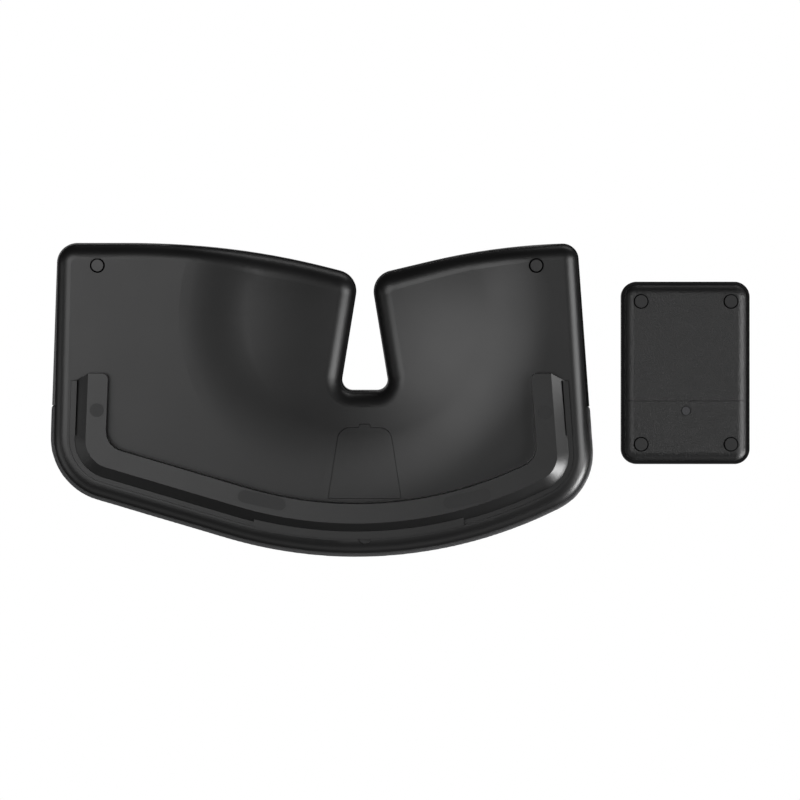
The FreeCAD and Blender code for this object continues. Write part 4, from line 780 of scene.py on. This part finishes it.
# %% World: white behind, a dim studio around
WHITE = (1.0, 1.0, 1.0, 1.0)
DIM = 0.18
NEARLY_DARK = 0.02
PATCH_EDGE = 0.93
PATCH_FULL = 0.99
PATCH_WHITE = 0.25
world =bpy.data.worlds.new("studio")
bpy.context.scene.world = world
world.use_nodes = True
sky = Shading(world.node_tree)
sky.tree.nodes.remove(sky.tree.nodes["Background"])


def glow(strength):
    """A white background of one strength."""
    return sky.node("Background", {}, {"Color": WHITE, "Strength": strength})


def mixed(factor, first, second):
    return sky.node("MixShader", {}, {0: factor, 1: first, 2: second})


upwards = sky.node("SeparateXYZ", {}, {0: sky.node("TexCoord", {}, {}, "Generated")}, "Z")
patch_ends = {"From Min": PATCH_EDGE, "From Max": PATCH_FULL, "To Max": PATCH_WHITE}
patch = sky.node("MapRange", {}, {"Value": upwards, **patch_ends})
white_share = (sky.ray_is("Glossy") * patch).either(sky.ray_is("Camera"))
white_share = white_share.either(sky.ray_is("Transmission"))
around = mixed(sky.ray_is("Glossy"), glow(DIM), glow(NEARLY_DARK))
behind = mixed(white_share, around, glow(1.0))
sky.fill(sky.tree.nodes["World Output"].inputs["Surface"], behind)
print("world of", len(sky.tree.nodes), "nodes")

# %% [markdown]
# ## Lights
# Satin black shows the lights themselves, so each lamp is placed for the reflection that it draws.
# The camera is below, so the picture's left is the object's right, where X is positive. The broad
# light gives the large faces their sheen from below on the picture's left, and the side light
# catches slopes on the right. The corner, front and left lights stand almost level with the edges
# and draw the streaks along the rolled rim. The top and window lights are for views from above.
# The top one is kept out of reflections, because the notch's steep walls would mirror it.

# %% Lights
MIDDLE = Vector((0.0, 0.0, 0.02))


def soft_light(name, place, width, height, power):
    """A rectangular lamp that faces the object."""
    lamp = bpy.data.lights.new(name, "AREA")
    lamp.shape = "RECTANGLE"
    lamp.size = width
    lamp.size_y = height
    lamp.energy = power
    made = bpy.data.objects.new(name, lamp)
    made.location = place
    made.rotation_mode = "QUATERNION"
    made.rotation_quaternion = (MIDDLE - Vector(place)).to_track_quat("-Z", "Y")
    bpy.context.scene.collection.objects.link(made)
    return made


soft_light("broad light", (1.1, 0.15, -2.4), 1.7, 1.9, 24.0)
soft_light("side light", (-1.7, -0.1, -1.0), 1.2, 1.5, 24.0)
soft_light("corner light", (-1.74, -0.98, 0.3), 0.7, 1.0, 34.0)
soft_light("front light", (0.5, -2.2, -0.1), 3.4, 1.4, 4.5)
soft_light("left light", (2.15, -0.75, -0.1), 1.6, 1.2, 5.0)
top_light = soft_light("top light", (0.4, 0.6, 2.4), 2.4, 2.4, 48.0)
top_light.visible_glossy = False
soft_light("window light", (-0.9, 2.3, 1.3), 1.6, 1.0, 5.0)
print(len(bpy.data.lights), "lights")

# %% [markdown]
# ## The floor
# The camera looks up from under the floor, so the floor can't simply be there. Its material is
# solid only to a camera ray that meets its upper face. Every other ray passes, so the lights below
# reach the underside, and a view from above still gets a pale floor with the object's shadow.

# %% A pale floor, seen from above alone
FLOOR_LEVEL = -0.4 * MM
FLOOR_HALF = 3.0


def floor_finish():
    finish = Finish("pale floor")
    finish.dress(Base_Color=(0.8, 0.8, 0.8, 1.0), Roughness=0.9, Specular_IOR_Level=0.1)
    lower_face = finish.node("NewGeometry", {}, {}, "Backfacing")
    solid = finish.ray_is("Camera") * (1 - lower_face)
    clear = finish.node("BsdfTransparent", {}, {})
    shader = Value(finish, finish.shader.outputs[0])
    surface = finish.node("MixShader", {}, {0: solid, 1: clear, 2: shader})
    finish.fill(finish.tree.nodes["Material Output"].inputs["Surface"], surface)
    return finish


floor_mesh = bpy.data.meshes.new("floor")
corners = [(-1, -1), (1, -1), (1, 1), (-1, 1)]
points = [(x * FLOOR_HALF, y * FLOOR_HALF, FLOOR_LEVEL) for x, y in corners]
floor_mesh.from_pydata(points, [], [(0, 1, 2, 3)])
floor_mesh.materials.append(floor_finish().material)
floor = bpy.data.objects.new("floor", floor_mesh)
bpy.context.scene.collection.objects.link(floor)
print("floor at", round(FLOOR_LEVEL / MM, 2), "mm")

# %% [markdown]
# ## The camera
# A long lens from far away keeps the perspective weak, as it seems to be in the photograph. The
# camera stands straight below the middle of the set and its distance follows from how wide the
# picture is at the level of the undersides. It looks up, so its right is the object's left.

# %% Camera, straight below the middle of the set
PICTURE_WIDTH = 0.5784
LENS = 200.0
SENSOR = 36.0
FACE_LEVEL = 0.01
FARTHEST_SEEN = 50.0
camera_data = bpy.data.cameras.new("camera")
camera_data.lens = LENS
camera_data.sensor_width = SENSOR
camera_data.clip_end = FARTHEST_SEEN
camera = bpy.data.objects.new("camera", camera_data)
bpy.context.scene.collection.objects.link(camera)
distance = PICTURE_WIDTH / 2 / (SENSOR / 2 / LENS)
camera.location = (0.0, 0.0, FACE_LEVEL - distance)
camera.rotation_euler = Matrix(((-1, 0, 0), (0, 1, 0), (0, 0, -1))).to_euler()
bpy.context.scene.camera = camera
bpy.context.scene.view_settings.view_transform = "Standard"
print("camera", round(distance, 3), "m below")
